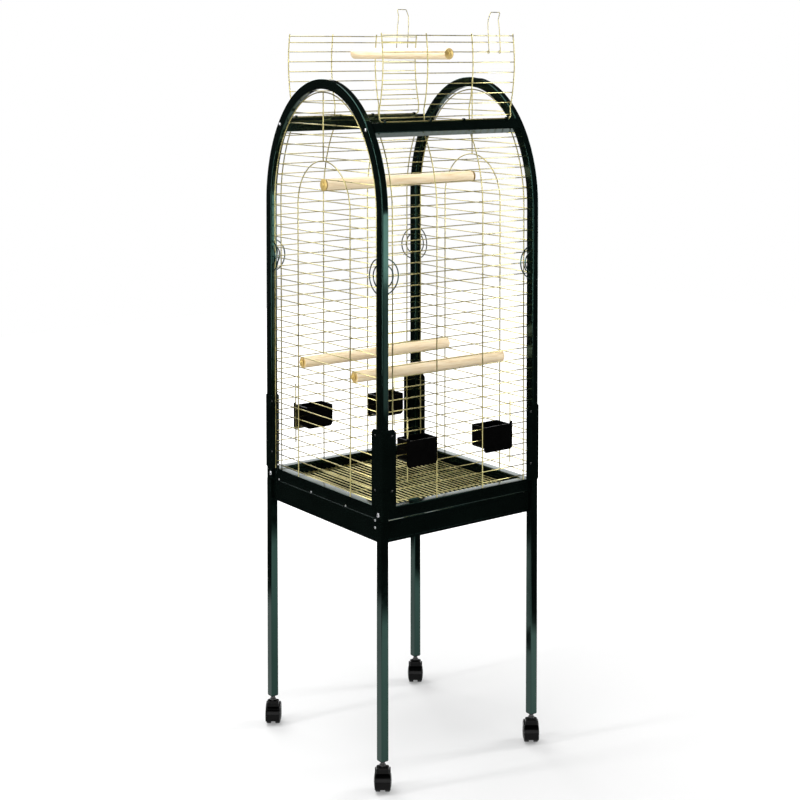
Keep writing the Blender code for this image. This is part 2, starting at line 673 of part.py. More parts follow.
def cross_bars(finishes, frame):
    """Tubes between the arches, each with four clip rings for a flap's hinge wire."""
    for name, end in (("front", -1), ("back", 1)):
        centre, normal, tangent = bar_frame(end)
        bm = bmesh.new()
        outline = [Vector((-PANEL_HALF_X, 0, 0)) + normal * a + tangent * b
                   for a, b in chamfered(BAR_DEPTH, BAR_WIDTH, BAR_CORNER)]
        extrude_outline(bm, outline, (2 * PANEL_HALF_X, 0, 0))
        bar = new_object(f"cross_bar_{name}", bm, finishes["enamel"], centre, parent=frame, smooth=50)
        core = bmesh.new()
        reach = PANEL_HALF_X + BOOLEAN_REACH
        a, b = BAR_DEPTH / 2 - ARCH_WALL, BAR_WIDTH / 2 - ARCH_WALL
        corners = [Vector((-reach, 0, 0)) + normal * sa * a + tangent * sb * b
                   for sa, sb in ((1, 1), (-1, 1), (-1, -1), (1, -1))]
        extrude_outline(core, corners, (2 * reach, 0, 0))
        combine(bar, core, "DIFFERENCE", f"cross_bar_core_{name}")
        clips = bmesh.new()
        axis = hinge_axis(end) - centre
        sides = 8
        inner = (UPRIGHT_HALF + FIT) / math.cos(math.pi / sides)
        outer = HINGE_STANDOFF + 0.0012
        for x in BAR_CLIP_X:
            low, high = x - BAR_CLIP_WIDTH / 2, x + BAR_CLIP_WIDTH / 2
            lathe(clips, [(inner, low), (outer, low), (outer, high), (inner, high), (inner, low)], sides, "X",
                  axis, math.pi / sides)
        bmesh.ops.remove_doubles(clips, verts=clips.verts, dist=1e-6)
        combine(bar, clips, "UNION", f"cross_bar_clips_{name}")


def brackets(finishes, frame):
    """Folded corner plates round the foot of each arch."""
    low, high = RING_TOP + FIT, RING_TOP + FIT + BRACKET_HEIGHT
    inner_x = ARCH_X + ARCH_THICK / 2 + FIT
    inner_y = ARCH_HALF_SPAN + FIT
    outer_x, outer_y = inner_x + SHEET, inner_y + SHEET
    for place, sx, sy in (("front_left", -1, -1), ("front_right", 1, -1),
                          ("back_left", -1, 1), ("back_right", 1, 1)):
        front = bmesh.new()
        tip = outer_x - BRACKET_FRONT_WING
        plate = [(tip, low), (outer_x, low), (outer_x, high), (tip + BRACKET_CHAMFER, high),
                 (tip, high - BRACKET_CHAMFER)]
        extrude_outline(front, [(sx * a, sy * inner_y, z) for a, z in plate], (0, sy * SHEET, 0))
        bracket = new_object(f"corner_bracket_{place}", front, finishes["enamel"], parent=frame)
        wing = bmesh.new()
        tip = outer_y - BRACKET_SIDE_WING
        plate = [(tip, low), (outer_y, low), (outer_y, high), (tip + BRACKET_CHAMFER, high),
                 (tip, high - BRACKET_CHAMFER)]
        extrude_outline(wing, [(sx * inner_x, sy * b, z) for b, z in plate], (sx * SHEET, 0, 0))
        combine(bracket, wing, "UNION", f"bracket_wing_{place}")


# Wire panels

def arch_walk(half_span, rise):
    """Points on the arch's ellipse with their distance along it, in fine steps from the spring."""
    fine = 720
    walked = [(0.0, Vector(ellipse(half_span, rise, 0)))]
    for k in range(1, fine + 1):
        point = Vector(ellipse(half_span, rise, math.pi / 2 * k / fine))
        distance, before = walked[-1]
        walked.append((distance + (point - before).length, point))
    return walked


def at_distance(walked, distance):
    return min(walked, key=lambda step: abs(step[0] - distance))[1]


def upright_profile():
    """The path (out, z) of a front or back upright: straight, then over the arch up to the cross-bar.

    A bend lies half way between each pair of rows, so each row crosses the middle of a straight.
    """
    walked = arch_walk(UPRIGHT_Y, ARCH_RISE - ARCH_HALF_SPAN + UPRIGHT_Y)
    centre, normal, tangent = bar_frame(1)
    face = Vector((centre.y, centre.z)) - Vector((tangent.y, tangent.z)) * BAR_WIDTH / 2
    down = -Vector((tangent.y, tangent.z))
    clear = [step for step in walked if (step[1] - face).dot(down) > BAR_APPROACH]
    last = clear[-1][0]
    row = FIRST_ROW
    while row + ROW_PITCH / 2 < ARCH_SPRING:
        row += ROW_PITCH
    bend = row - ROW_PITCH / 2 - ARCH_SPRING
    nodes = [Vector((UPRIGHT_Y, PANEL_FOOT))]
    if bend < 0:
        bend += ROW_PITCH
    while bend < last - ROW_PITCH / 4:
        nodes.append(at_distance(walked, bend))
        bend += ROW_PITCH
    nodes.append(at_distance(walked, last))
    return nodes


def rows_of_profile(nodes):
    """The rows (out, z, normal) inside an upright: a column on its straight part, then one per bent span."""
    rows = []
    z = FIRST_ROW
    while z < nodes[1].y - ROW_PITCH / 4:
        rows.append((Vector((PANEL_Y, z)), Vector((1, 0))))
        z += ROW_PITCH
    for low, high in zip(nodes[1:], nodes[2:]):
        span = (high - low).normalized()
        out = Vector((span.y, -span.x))
        rows.append(((low + high) / 2 - out * LAYER, out))
    return rows


def row_spans(index):
    """The stretches of a row along X: whole, or cut at the two cup openings."""
    if index not in CUP_CUT_ROWS:
        return [(-PANEL_HALF_X, PANEL_HALF_X)]
    past = UPRIGHT_HALF
    return [(-PANEL_HALF_X, -CUP_STUB_X + past), (-CUP_UPRIGHT_X - past, CUP_UPRIGHT_X + past),
            (CUP_STUB_X - past, PANEL_HALF_X)]


def end_panels(finishes, frame):
    """Front and back panels: uprights outside, rows inside, bent over the arch, with two cup openings each."""
    nodes = upright_profile()
    rows = rows_of_profile(nodes)
    for name, end in (("front", -1), ("back", 1)):
        out = Vector((0, end, 0))
        bm = bmesh.new()
        for index, (place, normal) in enumerate(rows):
            for low, high in row_spans(index):
                ends = [Vector((x, end * place.x, place.y)) for x in (low, high)]
                sweep(bm, ends, Vector((0, end * normal.x, normal.y)), ROW_HALF)
        panel = new_object(f"panel_{name}", bm, finishes["wire"], parent=frame)
        uprights = bmesh.new()
        for x in UPRIGHT_X:
            sweep(uprights, [Vector((x, end * node.x, node.y)) for node in nodes], out, UPRIGHT_HALF)
        for x in (-CUP_STUB_X, CUP_STUB_X):
            ends = [Vector((x, end * UPRIGHT_Y, z)) for z in (CUP_STUB_LOW, CUP_STUB_HIGH)]
            sweep(uprights, ends, out, UPRIGHT_HALF)
        combine(panel, uprights, "UNION", f"panel_uprights_{name}")


def side_panels(finishes, frame):
    """Side panels: a rim wire that follows the arch, a hairpin and a centre wire, with rows inside them."""
    rim_span = ARCH_INNER_SPAN - RIM_INSET
    rim_rise = ARCH_INNER_RISE - RIM_INSET
    rim_top = ARCH_SPRING + rim_rise
    hairpin_spring = HAIRPIN_TOP - HAIRPIN_HALF
    for name, side in (("left", -1), ("right", 1)):
        out = Vector((side, 0, 0))
        bm = bmesh.new()
        z = FIRST_ROW
        while z < rim_top - ROW_PITCH:
            above = max(0.0, z + ROW_HALF - ARCH_SPRING) / ARCH_INNER_RISE
            half = arch_inner_half(z + ROW_HALF) - FIT * (1 + above)
            sweep(bm, [Vector((side * PANEL_X, y, z)) for y in (-half, half)], out, ROW_HALF)
            z += ROW_PITCH
        panel = new_object(f"panel_{name}", bm, finishes["wire"], parent=frame)

        wires = bmesh.new()
        x = side * SIDE_UPRIGHT_X
        arch = [ellipse(rim_span, rim_rise, math.pi * k / ARCH_STEPS) for k in range(ARCH_STEPS + 1)]
        rim = [(rim_span, PANEL_FOOT)] + arch + [(-rim_span, PANEL_FOOT)]
        sweep(wires, [Vector((x, y, z)) for y, z in rim], out, UPRIGHT_HALF)
        bend = arc((0, hairpin_spring), HAIRPIN_HALF, 0, math.pi, HAIRPIN_STEPS)
        hairpin = [(HAIRPIN_HALF, PANEL_FOOT)] + bend + [(-HAIRPIN_HALF, PANEL_FOOT)]
        sweep(wires, [Vector((x, y, z)) for y, z in hairpin], out, UPRIGHT_HALF)
        combine(panel, wires, "UNION", f"panel_rim_{name}")

        centre = bmesh.new()
        sweep(centre, [Vector((x, 0, z)) for z in (HAIRPIN_TOP, rim_top)], out, UPRIGHT_HALF * 0.9)
        combine(panel, centre, "UNION", f"panel_centre_{name}")


# Roof flaps and latches

def flap_profile():
    """The path (out, up) of a flap's upright from the hinge: a kinked foot, then a shallow arc."""
    kink, tip = Vector(FLAP_KINK), Vector(FLAP_TIP)
    chord = tip - kink
    length = chord.length
    radius = (length ** 2 / 4 + FLAP_BULGE ** 2) / (2 * FLAP_BULGE)
    half_angle = math.asin(length / 2 / radius)
    along = chord.normalized()
    out = Vector((along.y, -along.x))
    centre = (kink + tip) / 2 - out * (radius - FLAP_BULGE)
    total = sum(FLAP_CHORDS)
    nodes = [Vector((0, 0)), kink]
    walked = 0.0
    for step in FLAP_CHORDS:
        walked += step
        angle = half_angle * (2 * walked / total - 1)
        nodes.append(centre + out * (radius * math.cos(angle)) + along * (radius * math.sin(angle)))
    return nodes


def flap_rows():
    """The rows (place, normal) of a flap, inside its uprights: one on the foot, one per span of the arc."""
    nodes = flap_profile()
    rows = []
    for index, (low, high) in enumerate(zip(nodes, nodes[1:])):
        span = (high - low).normalized()
        out = Vector((span.y, -span.x))
        share = FLAP_FOOT_ROW if index == 0 else 0.5
        rows.append((low.lerp(high, share) - out * LAYER, out))
    return rows


def flaps(finishes, frame):
    """Two roof flaps, standing open. A bent wire makes the edges and the hinge pin in one piece."""
    nodes = flap_profile()
    for name, end in (("front", -1), ("back", 1)):
        bm = bmesh.new()
        for place, normal in flap_rows():
            ends = [Vector((x, end * place.x, place.y)) for x in (-FLAP_EDGE_X, FLAP_EDGE_X)]
            sweep(bm, ends, Vector((0, end * normal.x, normal.y)), ROW_HALF)
        flap = new_object(f"roof_flap_{name}", bm, finishes["wire"], hinge_axis(end), parent=frame)

        edge = [Vector((FLAP_EDGE_X, end * node.x, node.y)) for node in reversed(nodes)]
        foot = (edge[-2] - edge[-1]).normalized()
        corner = [edge[-1] + foot * FLAP_CORNER * (1 - math.sin(t)) - Vector((FLAP_CORNER * (1 - math.cos(t)), 0, 0))
                  for t in (math.pi / 2 * k / 3 for k in range(4))]
        side = edge[:-1] + corner
        path = side + [Vector((-point.x, point.y, point.z)) for point in reversed(side)]
        bent = bmesh.new()
        sweep(bent, path, Vector((0, end, 0)), UPRIGHT_HALF)
        combine(flap, bent, "UNION", f"flap_frame_wire_{name}")

        uprights = bmesh.new()
        for x in FLAP_UPRIGHT_X:
            sweep(uprights, [Vector((x, end * node.x, node.y)) for node in nodes], Vector((0, end, 0)), UPRIGHT_HALF)
        combine(flap, uprights, "UNION", f"flap_uprights_{name}")


def latches(finishes, frame):
    """A wire hook on each flap. Its two eyes turn about a row, and its legs lean on the row above."""
    wire = flat_half(LATCH_WIRE)
    sides = 8
    eye = (ROW_HALF + FIT + wire) / math.cos(math.pi / sides)
    rows = flap_rows()
    pivot, above = rows[TOP_PERCH_ROW + 1][0], rows[TOP_PERCH_ROW + 2][0]
    start = Vector((eye * math.cos(math.pi / sides), 0))
    touch = above - pivot + Vector((ROW_HALF + wire + 2 * FIT, 0))
    lean = (touch - start).normalized()
    for name, end in (("front", -1), ("back", 1)):
        x_low, x_high = LATCH_X[name]
        middle = (x_low + x_high) / 2
        reach = LATCH_REACH[name]
        half = (x_high - x_low) / 2
        bend = start + lean * (reach - LATCH_BEND)
        hook = bend + Vector((LATCH_BEND_OUT, LATCH_BEND))
        stations = [(half, start), (half, start + lean * (reach * 0.6)), (half - LATCH_TAPER, bend),
                    (half - LATCH_TAPER * 1.6, hook)]
        leg = [Vector((x, end * place.x, place.y)) for x, place in stations]
        path = leg + [Vector((-point.x, point.y, point.z)) for point in reversed(leg)]
        bm = bmesh.new()
        sweep(bm, path, Vector((0, end, 0)), wire)
        origin = hinge_axis(end) + Vector((middle, end * pivot.x, pivot.y))
        latch = new_object(f"latch_{name}", bm, finishes["wire"], origin, parent=frame)
        eyes = bmesh.new()
        for x in (-half, half):
            loop = [Vector((x, end * eye * math.cos(t), eye * math.sin(t)))
                    for t in (math.pi * (2 * k + 1) / sides for k in range(sides))]
            sweep(eyes, loop, Vector((1, 0, 0)), wire, closed=True)
        combine(latch, eyes, "UNION", f"latch_eyes_{name}")


# Cups and perches

def cups(finishes, frame):
    """Plastic cups that slide out through openings in the front and back panels."""
    low_x = CUP_UPRIGHT_X + UPRIGHT_HALF + CUP_SIDE_GAP
    high_x = CUP_STUB_X - UPRIGHT_HALF - CUP_SIDE_GAP
    floor = FIRST_ROW + (CUP_CUT_ROWS[0] - 1) * ROW_PITCH + ROW_HALF + FIT
    plate_in = UPRIGHT_FACE_Y + FIT
    plate_out = plate_in + CUP_WALL
    inner_y = PANEL_Y - CUP_DEPTH
    plate_low_x = CUP_UPRIGHT_X + UPRIGHT_HALF + FIT
    plate_high_x = CUP_STUB_X + CUP_PLATE_OVER
    for name, end in (("front", -1), ("back", 1)):
        for place, side in (("left", -1), ("right", 1)):
            label = f"{name}_{place}"
            bm = bmesh.new()
            corner = CUP_CORNER
            outline = [(low_x, CUP_TOP - FIT), (low_x, floor + corner * 0.6), (low_x + corner * 0.2, floor + corner * 0.2),
                       (low_x + corner * 0.6, floor), (high_x - corner * 0.6, floor),
                       (high_x - corner * 0.2, floor + corner * 0.2), (high_x, floor + corner * 0.6),
                       (high_x, CUP_TOP - FIT)]
            extrude_outline(bm, [(side * x, end * inner_y, z) for x, z in outline],
                            (0, end * (plate_out - CUP_WALL / 2 - inner_y), 0))
            cup = new_object(f"cup_{label}", bm, finishes["plastic"], parent=frame, smooth=40)
            inside = bmesh.new()
            wall = CUP_WALL
            outline = [(low_x + wall, CUP_TOP + BOOLEAN_REACH), (low_x + wall, floor + corner * 0.7),
                       (low_x + corner * 0.7, floor + wall), (high_x - corner * 0.7, floor + wall),
                       (high_x - wall, floor + corner * 0.7), (high_x - wall, CUP_TOP + BOOLEAN_REACH)]
            extrude_outline(inside, [(side * x, end * (inner_y + wall), z) for x, z in outline],
                            (0, end * (plate_in - inner_y - wall), 0))
            combine(cup, inside, "DIFFERENCE", f"cup_inside_{label}")
            plate = bmesh.new()
            cut = corner * 0.7
            outline = [(plate_low_x, CUP_TOP), (plate_low_x, CUP_PLATE_LOW + cut), (plate_low_x + cut, CUP_PLATE_LOW),
                       (plate_high_x - cut, CUP_PLATE_LOW), (plate_high_x, CUP_PLATE_LOW + cut),
                       (plate_high_x, CUP_TOP + CUP_EAR), (plate_high_x - CUP_EAR, CUP_TOP + CUP_EAR),
                       (plate_high_x - CUP_EAR * 1.5, CUP_TOP)]
            extrude_outline(plate, [(side * x, end * plate_in, z) for x, z in outline], (0, end * CUP_WALL, 0))
            combine(cup, plate, "UNION", f"cup_plate_{label}")


def perch_profile(near, far, washer_radius, bolted_far=True):
    """A turned dowel from its near end to its far end, with a bolt and washer past each bolted end.

    Each end is (dowel end, washer's inner face), as distances along the perch.
    """
    def fitting(dowel, washer, sign):
        return [(PERCH_RADIUS, dowel), (BOLT_RADIUS, dowel), (BOLT_RADIUS, washer), (washer_radius, washer),
                (washer_radius, washer + sign * WASHER_THICK), (0, washer + sign * WASHER_THICK)]
    start = list(reversed(fitting(*near, -1)))
    if bolted_far:
        return start + fitting(*far, 1)
    return start + [(PERCH_RADIUS, far[0]), (0, far[0])]


def perches(finishes, frame):
    """Three dowels between the side panels, and one across the open flaps that is bolted to the front one."""
    dowel = PANEL_X - ROW_HALF - FIT
    washer = PANEL_X + ROW_HALF + FIT
    for name, y, row, size in (("perch_upper", PERCH_UPPER_Y, PERCH_UPPER_ROW, WIDE_WASHER),
                               ("perch_back", PERCH_BACK_Y, PERCH_LOWER_ROW, SMALL_WASHER),
                               ("perch_front", PERCH_FRONT_Y, PERCH_LOWER_ROW, SMALL_WASHER)):
        z = FIRST_ROW + (row + 0.5) * ROW_PITCH
        bm = bmesh.new()
        lathe(bm, perch_profile((-dowel, -washer), (dowel, washer), size), PERCH_SIDES, "X")
        new_object(name, bm, finishes["wood"], (0, y, z), parent=frame, smooth=40)
    row = flap_rows()[TOP_PERCH_ROW + 1][0]
    axis = hinge_axis(1)
    out = axis.y + row.x
    end = out - ROW_HALF - FIT
    washer = out + ROW_HALF + FIT
    z = axis.z + row.y - ROW_HALF - BOLT_RADIUS - FIT
    bm = bmesh.new()
    lathe(bm, perch_profile((-end, -washer), (end, washer), SMALL_WASHER, False), PERCH_SIDES, "Y")
    new_object("perch_top", bm, finishes["wood"], (0, 0, z), parent=frame, smooth=40)


def main():
    clear_scene()
    finishes = {
        "enamel": material("green_black_enamel", (0.010, 0.022, 0.018), 0.22),
        "wire": material("brass_wire", (0.80, 0.66, 0.30), 0.25, 1.0),
        "plastic": material("black_plastic", (0.012, 0.012, 0.013), 0.42),
        "wood": material("pale_dowel", (0.80, 0.62, 0.40), 0.55),
        "steel": material("bright_steel", (0.62, 0.62, 0.64), 0.3, 1.0),
    }
    frame = empty("cage_frame", FRAME_SHIFT)
    casters(finishes, frame)
    legs(finishes, frame)
    base_ring(finishes, frame)
    skirts(finishes, frame)
    drawer(finishes, frame)
    grate(finishes, frame)
    rim_clip(finishes, frame)
    arches(finishes, frame)
    cross_bars(finishes, frame)
    brackets(finishes, frame)
    end_panels(finishes, frame)
    side_panels(finishes, frame)
    flaps(finishes, frame)
    latches(finishes, frame)
    cups(finishes, frame)
    perches(finishes, frame)


main()
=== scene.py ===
"""Free-standing parrot cage: arched frame, wire panels, open roof flaps and a stand on swivel casters.

Metres, +Z up, -Y the front. Places in this script are measured from the middle of the cage's frame, and
SHIFT carries them to the model's origin, which is the middle of the whole outline with its casters.
"""

from math import acos, asin, atan2, cos, pi, radians, sin, sqrt, tan

import bmesh
import bpy
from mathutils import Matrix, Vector


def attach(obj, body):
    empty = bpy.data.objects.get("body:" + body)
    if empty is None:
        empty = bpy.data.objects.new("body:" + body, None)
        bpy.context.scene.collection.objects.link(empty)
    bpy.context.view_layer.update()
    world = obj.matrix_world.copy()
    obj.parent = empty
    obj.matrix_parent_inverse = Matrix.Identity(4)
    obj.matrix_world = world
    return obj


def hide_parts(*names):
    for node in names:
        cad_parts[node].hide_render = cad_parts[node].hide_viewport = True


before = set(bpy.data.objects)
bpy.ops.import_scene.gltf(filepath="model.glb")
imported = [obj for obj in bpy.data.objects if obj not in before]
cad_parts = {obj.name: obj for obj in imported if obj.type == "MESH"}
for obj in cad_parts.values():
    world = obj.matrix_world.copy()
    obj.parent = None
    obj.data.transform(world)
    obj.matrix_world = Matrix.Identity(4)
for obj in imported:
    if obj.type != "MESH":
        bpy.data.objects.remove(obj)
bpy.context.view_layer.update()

FIT = 0.0003
WELD_BITE = 0.0002

# Casters
CASTER_TRAIL = 0.014
CASTER_HEADING = radians(-36.7)
WHEEL_RADIUS = 0.025
WHEEL_SIDES = 64
WHEEL_INNER_X = 0.0055
WHEEL_TREAD_X = 0.0170
WHEEL_OUTER_X = 0.0205
AXLE_RADIUS = 0.0030
STEM_RADIUS = 0.0055
STEM_LOW = 0.055
STEM_HIGH = 0.098
NUT_RADIUS = 0.0078
NUT_LOW = 0.0672
NUT_HIGH = 0.0700
HOOD_TOP = 0.064
HOOD_INNER = 0.0267
HOOD_WALL = 0.0030
HOOD_HALF_WIDTH = 0.0185
HOOD_BOSS_HALF = 0.0155
HOOD_WEB_HALF = 0.0045
HOOD_SWEEP = radians(202.5)
HOOD_WEB_SWEEP = (radians(11), radians(191))

# Legs
LEG_SIDE = 0.020
LEG_WALL = 0.0012
LEG_ROUND = 0.0012
LEG_X = 0.229
LEG_Y = 0.2415
LEG_LOW = 0.080
LEG_TOP = 0.642
PLUG_DEPTH = 0.022
PLUG_RIM = 0.002
PLUG_ROUND = 0.0018

# Base ring, skirts and drawer
LEG_GAP_X = LEG_X - LEG_SIDE / 2 - FIT
LEG_GAP_Y = LEG_Y - LEG_SIDE / 2 - FIT
SHEET = 0.0012
FOLD = 0.0016
RING_X = 0.231
RING_Y = 0.244
RING_LOW = LEG_TOP + FIT
RING_TOP = RING_LOW + 0.0297
RIM_FLANGE = 0.022
GRATE_LEDGE = 0.032
SKIRT_LOW = 0.589
SKIRT_RUNNER = 0.026
SKIRT_BACK_RUNNER = 0.010
SKIRT_RETURN = 0.008
DRAWER_TOP = 0.636
DRAWER_FRONT_LOW = 0.597
DRAWER_FRONT_TOP = 0.641
DRAWER_HALF = 0.217

# Arches and cross-bars
ARCH_X = 0.2285
ARCH_THICK = 0.018
ARCH_DEPTH = 0.025
ARCH_ROUND = 0.0026
ARCH_HALF_SPAN = 0.254
ARCH_INNER_SPAN = ARCH_HALF_SPAN - ARCH_DEPTH
ARCH_SPRING = 1.352
ARCH_RISE = 0.3145
ARCH_INNER_RISE = ARCH_RISE - ARCH_DEPTH
ARCH_FOOT = LEG_TOP + FIT
BAR_WIDTH = 0.028
BAR_DEPTH = 0.025
BAR_Y = 0.185
BAR_Z = 1.548
BAR_TILT = radians(33.83)
BAR_CLIP_X = (-0.186, -0.051, 0.051, 0.186)
HINGE_STANDOFF = 0.0027
HINGE_BELOW_EDGE = 0.0015
HINGE_CLIP_HALF = 0.0030
BRACKET_HEIGHT = 0.185
BRACKET_FRONT_WING = 0.039
BRACKET_SIDE_WING = 0.0435
BRACKET_CHAMFER = 0.008

# Wires
ROW_RADIUS = 0.0012
UPRIGHT_RADIUS = 0.0015
LAYER = ROW_RADIUS + UPRIGHT_RADIUS - WELD_BITE
ROW_PITCH = 0.0264
FIRST_ROW = 0.6835
PANEL_Y = 0.239
PANEL_X = ARCH_X
PANEL_FOOT = RING_TOP + FIT
PANEL_HALF_X = ARCH_X - ARCH_THICK / 2 - FIT
UPRIGHT_X = (-0.200, -0.070, 0.070, 0.200)
UPRIGHT_Y = PANEL_Y + LAYER
SIDE_UPRIGHT_X = PANEL_X + LAYER
RIM_INSET = 0.0076
HAIRPIN_HALF = 0.1135
HAIRPIN_TOP = 1.467
ROSETTE_Z = 1.213
ROSETTE_RADII = (0.042, 0.027)
CAD_UPRIGHT_HALF = 0.00188
CAD_ROW_HALF = 0.001504
CAD_LAYER = CAD_ROW_HALF + CAD_UPRIGHT_HALF - 0.0005

# Cups
CUP_UPRIGHT_X = 0.070
CUP_STUB_X = 0.157
CUP_STUB_Z = (0.723, 0.876)
CUP_CUT_ROWS = (4, 5)
CUP_SIDE_GAP = 0.002
CUP_DEPTH = 0.044
CUP_WALL = 0.0022
CUP_TOP = 0.820
CUP_PLATE_LOW = 0.757
CUP_PLATE_OVER = 0.004
CUP_EAR = 0.006
CUP_CORNER = 0.010
CUP_BEAD = 0.0013

# Perches
PERCH_RADIUS = 0.014
WASHER_RADIUS = 0.008
PERCHES = {"perch_upper": (0.0, 27, 0.0145), "perch_back": (0.101, 10, WASHER_RADIUS),
           "perch_front": (-0.124, 10, WASHER_RADIUS)}

# Screws
SCREW_RADIUS = 0.0026
PLATE_SCREW_AT = (0.212, 0.226)
PLATE_SCREW_Z = (0.843, 0.714)
SEAM_SCREW_Y = (0.205, 0.057, -0.093)
SEAM_SCREW_Z = RING_LOW + 0.0035
FRONT_SCREW_Y = -0.215
FRONT_SCREW_Z = (0.639, 0.622)
FOOT_BOLT_AT = (0.236, 0.657)
BAR_BOLT_AT = (0.1868, 1.5495)

# Roof flaps and latches
FLAP_KINK = Vector((-0.0020, 0.0265))
FLAP_TIP = Vector((0.0070, 0.2090))
FLAP_BULGE = 0.0105
FLAP_CHORDS = (0.025, 0.025, 0.025, 0.025, 0.025, 0.025, 0.022, 0.010)
FLAP_TOTAL = sum(FLAP_CHORDS)
FLAP_FOOT_ROW = 0.36
FLAP_UPRIGHT_X = (-0.069, 0.069)
FLAP_EDGE_X = 0.200
FLAP_CORNER = 0.008
LATCH_ROW = 6
LATCH_RADIUS = 0.0010
LATCH_HALF = 0.018
LATCHES = {"front": (0.138, 0.097), "back": (0.155, 0.112)}
LATCH_TAPER = 0.002
LATCH_BEND = 0.018
LATCH_BEND_OUT = 0.008
LATCH_EYE = 0.0031
LATCH_CORNER = 0.003

# Grate
GRATE_PITCH = 0.014
GRATE_WIRES = 30
GRATE_END_Y = 0.219
GRATE_HALF_X = 0.206
GRATE_BAR_RADIUS = 0.0017
GRATE_BAR_Y = (-0.216, 0.0, 0.216)

# Rim clip
CLIP_X = (-0.141, -0.113)
CLIP_DEPTH = 0.014
CLIP_LIP = 0.007
CLIP_SHEET = 0.0015

# Camera, fitted to the photograph
CAMERA_AT = Vector((-2.40474, -3.26772, 1.73604))
CAMERA_PITCH = radians(-2.28)
CAMERA_YAW = radians(-36.704)
FOCAL_PX = 1623.36
CENTRE_PX = (410.24, 114.47)
IMAGE_PX = 800

# Studio
BACKDROP_WAY = (0.598, 0.802, 0.0)
BACKDROP_LEVEL = 2.0
BACKDROP_EDGE = (0.945, 0.970)
ROOM_LEVEL = 0.03
SOFT_LEVEL = 0.55
FLOOR_HALF = 6.0
PAPER_EDGE = (1.25, 1.40)
PAPER_NEAR = 0.22
PAPER_SEEN = (0.9, 2.2)
PAPER_GLOSS = 0.85
PAPER_LEAN = (-0.5, 1.0, 0.0)
PAPER_LEAN_SPAN = (-1.2, 0.9)
DARK_FROM_X = (0.72, 0.80)
DARK_TO_Y = (0.05, 0.20)
TONGUE_FROM_X = (0.80, 0.95)
TONGUE_FROM_Y = (0.25, 0.40)

ACROSS = Vector((1, 0, 0))
BACK = Vector((0, 1, 0))
UP = Vector((0, 0, 1))
SHIFT = Vector((CASTER_TRAIL * sin(CASTER_HEADING), -CASTER_TRAIL * cos(CASTER_HEADING), 0))
ENDS = {"front": -1, "back": 1}
SIDES = {"left": -1, "right": 1}
CORNERS = {"front_left": (-1, -1), "front_right": (1, -1), "back_left": (-1, 1), "back_right": (1, 1)}


# Materials

def shader_of(name):
    made = bpy.data.materials.new(name)
    made.use_nodes = True
    return made, made.node_tree, made.node_tree.nodes["Principled BSDF"]


def feed(tree, socket, source):
    """Links a socket to an output, or gives it a plain value."""
    if isinstance(source, bpy.types.NodeSocket):
        tree.links.new(source, socket)
    else:
        socket.default_value = source


def node(tree, kind, sources=(), operation=None, **named):
    """A new node with its first sockets fed in order, and others by name."""
    made = tree.nodes.new(kind)
    if operation:
        made.operation = operation
    for socket, source in zip(made.inputs, sources):
        feed(tree, socket, source)
    for name, source in named.items():
        feed(tree, made.inputs[name], source)
    return made


def reckon(tree, operation, first, second=0.0):
    return node(tree, "ShaderNodeMath", [first, second], operation).outputs["Value"]


def noise(tree, scale, detail=4.0, stretch=(1, 1, 1), roughness=0.5):
    """Noise in the piece's own space, with its grain stretched by dividing the scale on an axis."""
    place = node(tree, "ShaderNodeTexCoord").outputs["Object"]
    vector = node(tree, "ShaderNodeMapping", [place], Scale=stretch).outputs["Vector"]
    made = node(tree, "ShaderNodeTexNoise", [vector], Scale=scale, Detail=detail, Roughness=roughness)
    return made.outputs["Fac"]


def ramp(tree, source, stops):
    """A colour ramp. Each stop is (position, colour)."""
    made = tree.nodes.new("ShaderNodeValToRGB")
    elements = made.color_ramp.elements
    while len(elements) < len(stops):
        elements.new(0.5)
    for element, (position, colour) in zip(elements, stops):
        element.position = position
        element.color = (*colour, 1)
    tree.links.new(source, made.inputs["Fac"])
    return made.outputs["Color"]


def times(tree, first, second):
    return reckon(tree, "MULTIPLY", first, second)


def spread(tree, source, low, high, from_low=0.3, from_high=0.7):
    """A value carried from one range to another and held at its ends."""
    return node(tree, "ShaderNodeMapRange", [source, from_low, from_high, low, high]).outputs["Result"]


def bump(tree, shader, source, strength, distance):
    made = node(tree, "ShaderNodeBump", Strength=strength, Distance=distance, Height=source)
    tree.links.new(made.outputs["Normal"], shader.inputs["Normal"])


def surface(name, dark, light, cloud, rough, patches, relief, metal=0.0, shine=0.5):
    """A material with cloudy colour, uneven roughness and fine relief.

    cloud and patches are a noise's scale and detail. relief has a strength and a depth as well.
    """
    made, tree, shader = shader_of(name)
    scale, detail, strength, depth = relief
    feed(tree, shader.inputs["Base Color"], ramp(tree, noise(tree, *cloud), [(0.3, dark), (0.7, light)]))
    feed(tree, shader.inputs["Roughness"], spread(tree, noise(tree, *patches), *rough))
    shader.inputs["Metallic"].default_value = metal
    shader.inputs["Specular IOR Level"].default_value = shine
    bump(tree, shader, noise(tree, scale, detail), strength, depth)
    return made


def enamel_material():
    """Gloss green-black stove enamel with a soft orange peel. Its gloss is tinted green."""
    made = surface("green_black_enamel", (0.0009, 0.0017, 0.0014), (0.0014, 0.0027, 0.0022), (18, 3),
                   (0.06, 0.13), (60, 5), (420, 2, 0.03, 0.0004))
    made.node_tree.nodes["Principled BSDF"].inputs["Specular Tint"].default_value = (0.42, 1.0, 0.82, 1)
    return made


def wire_material(name, dark, light, rough=(0.24, 0.40), metal=1.0):
    """Bright brass-coloured plating, a little uneven along its length."""
    return surface(name, dark, light, (45, 4), rough, (160, 4), (900, 3, 0.15, 0.0002), metal)


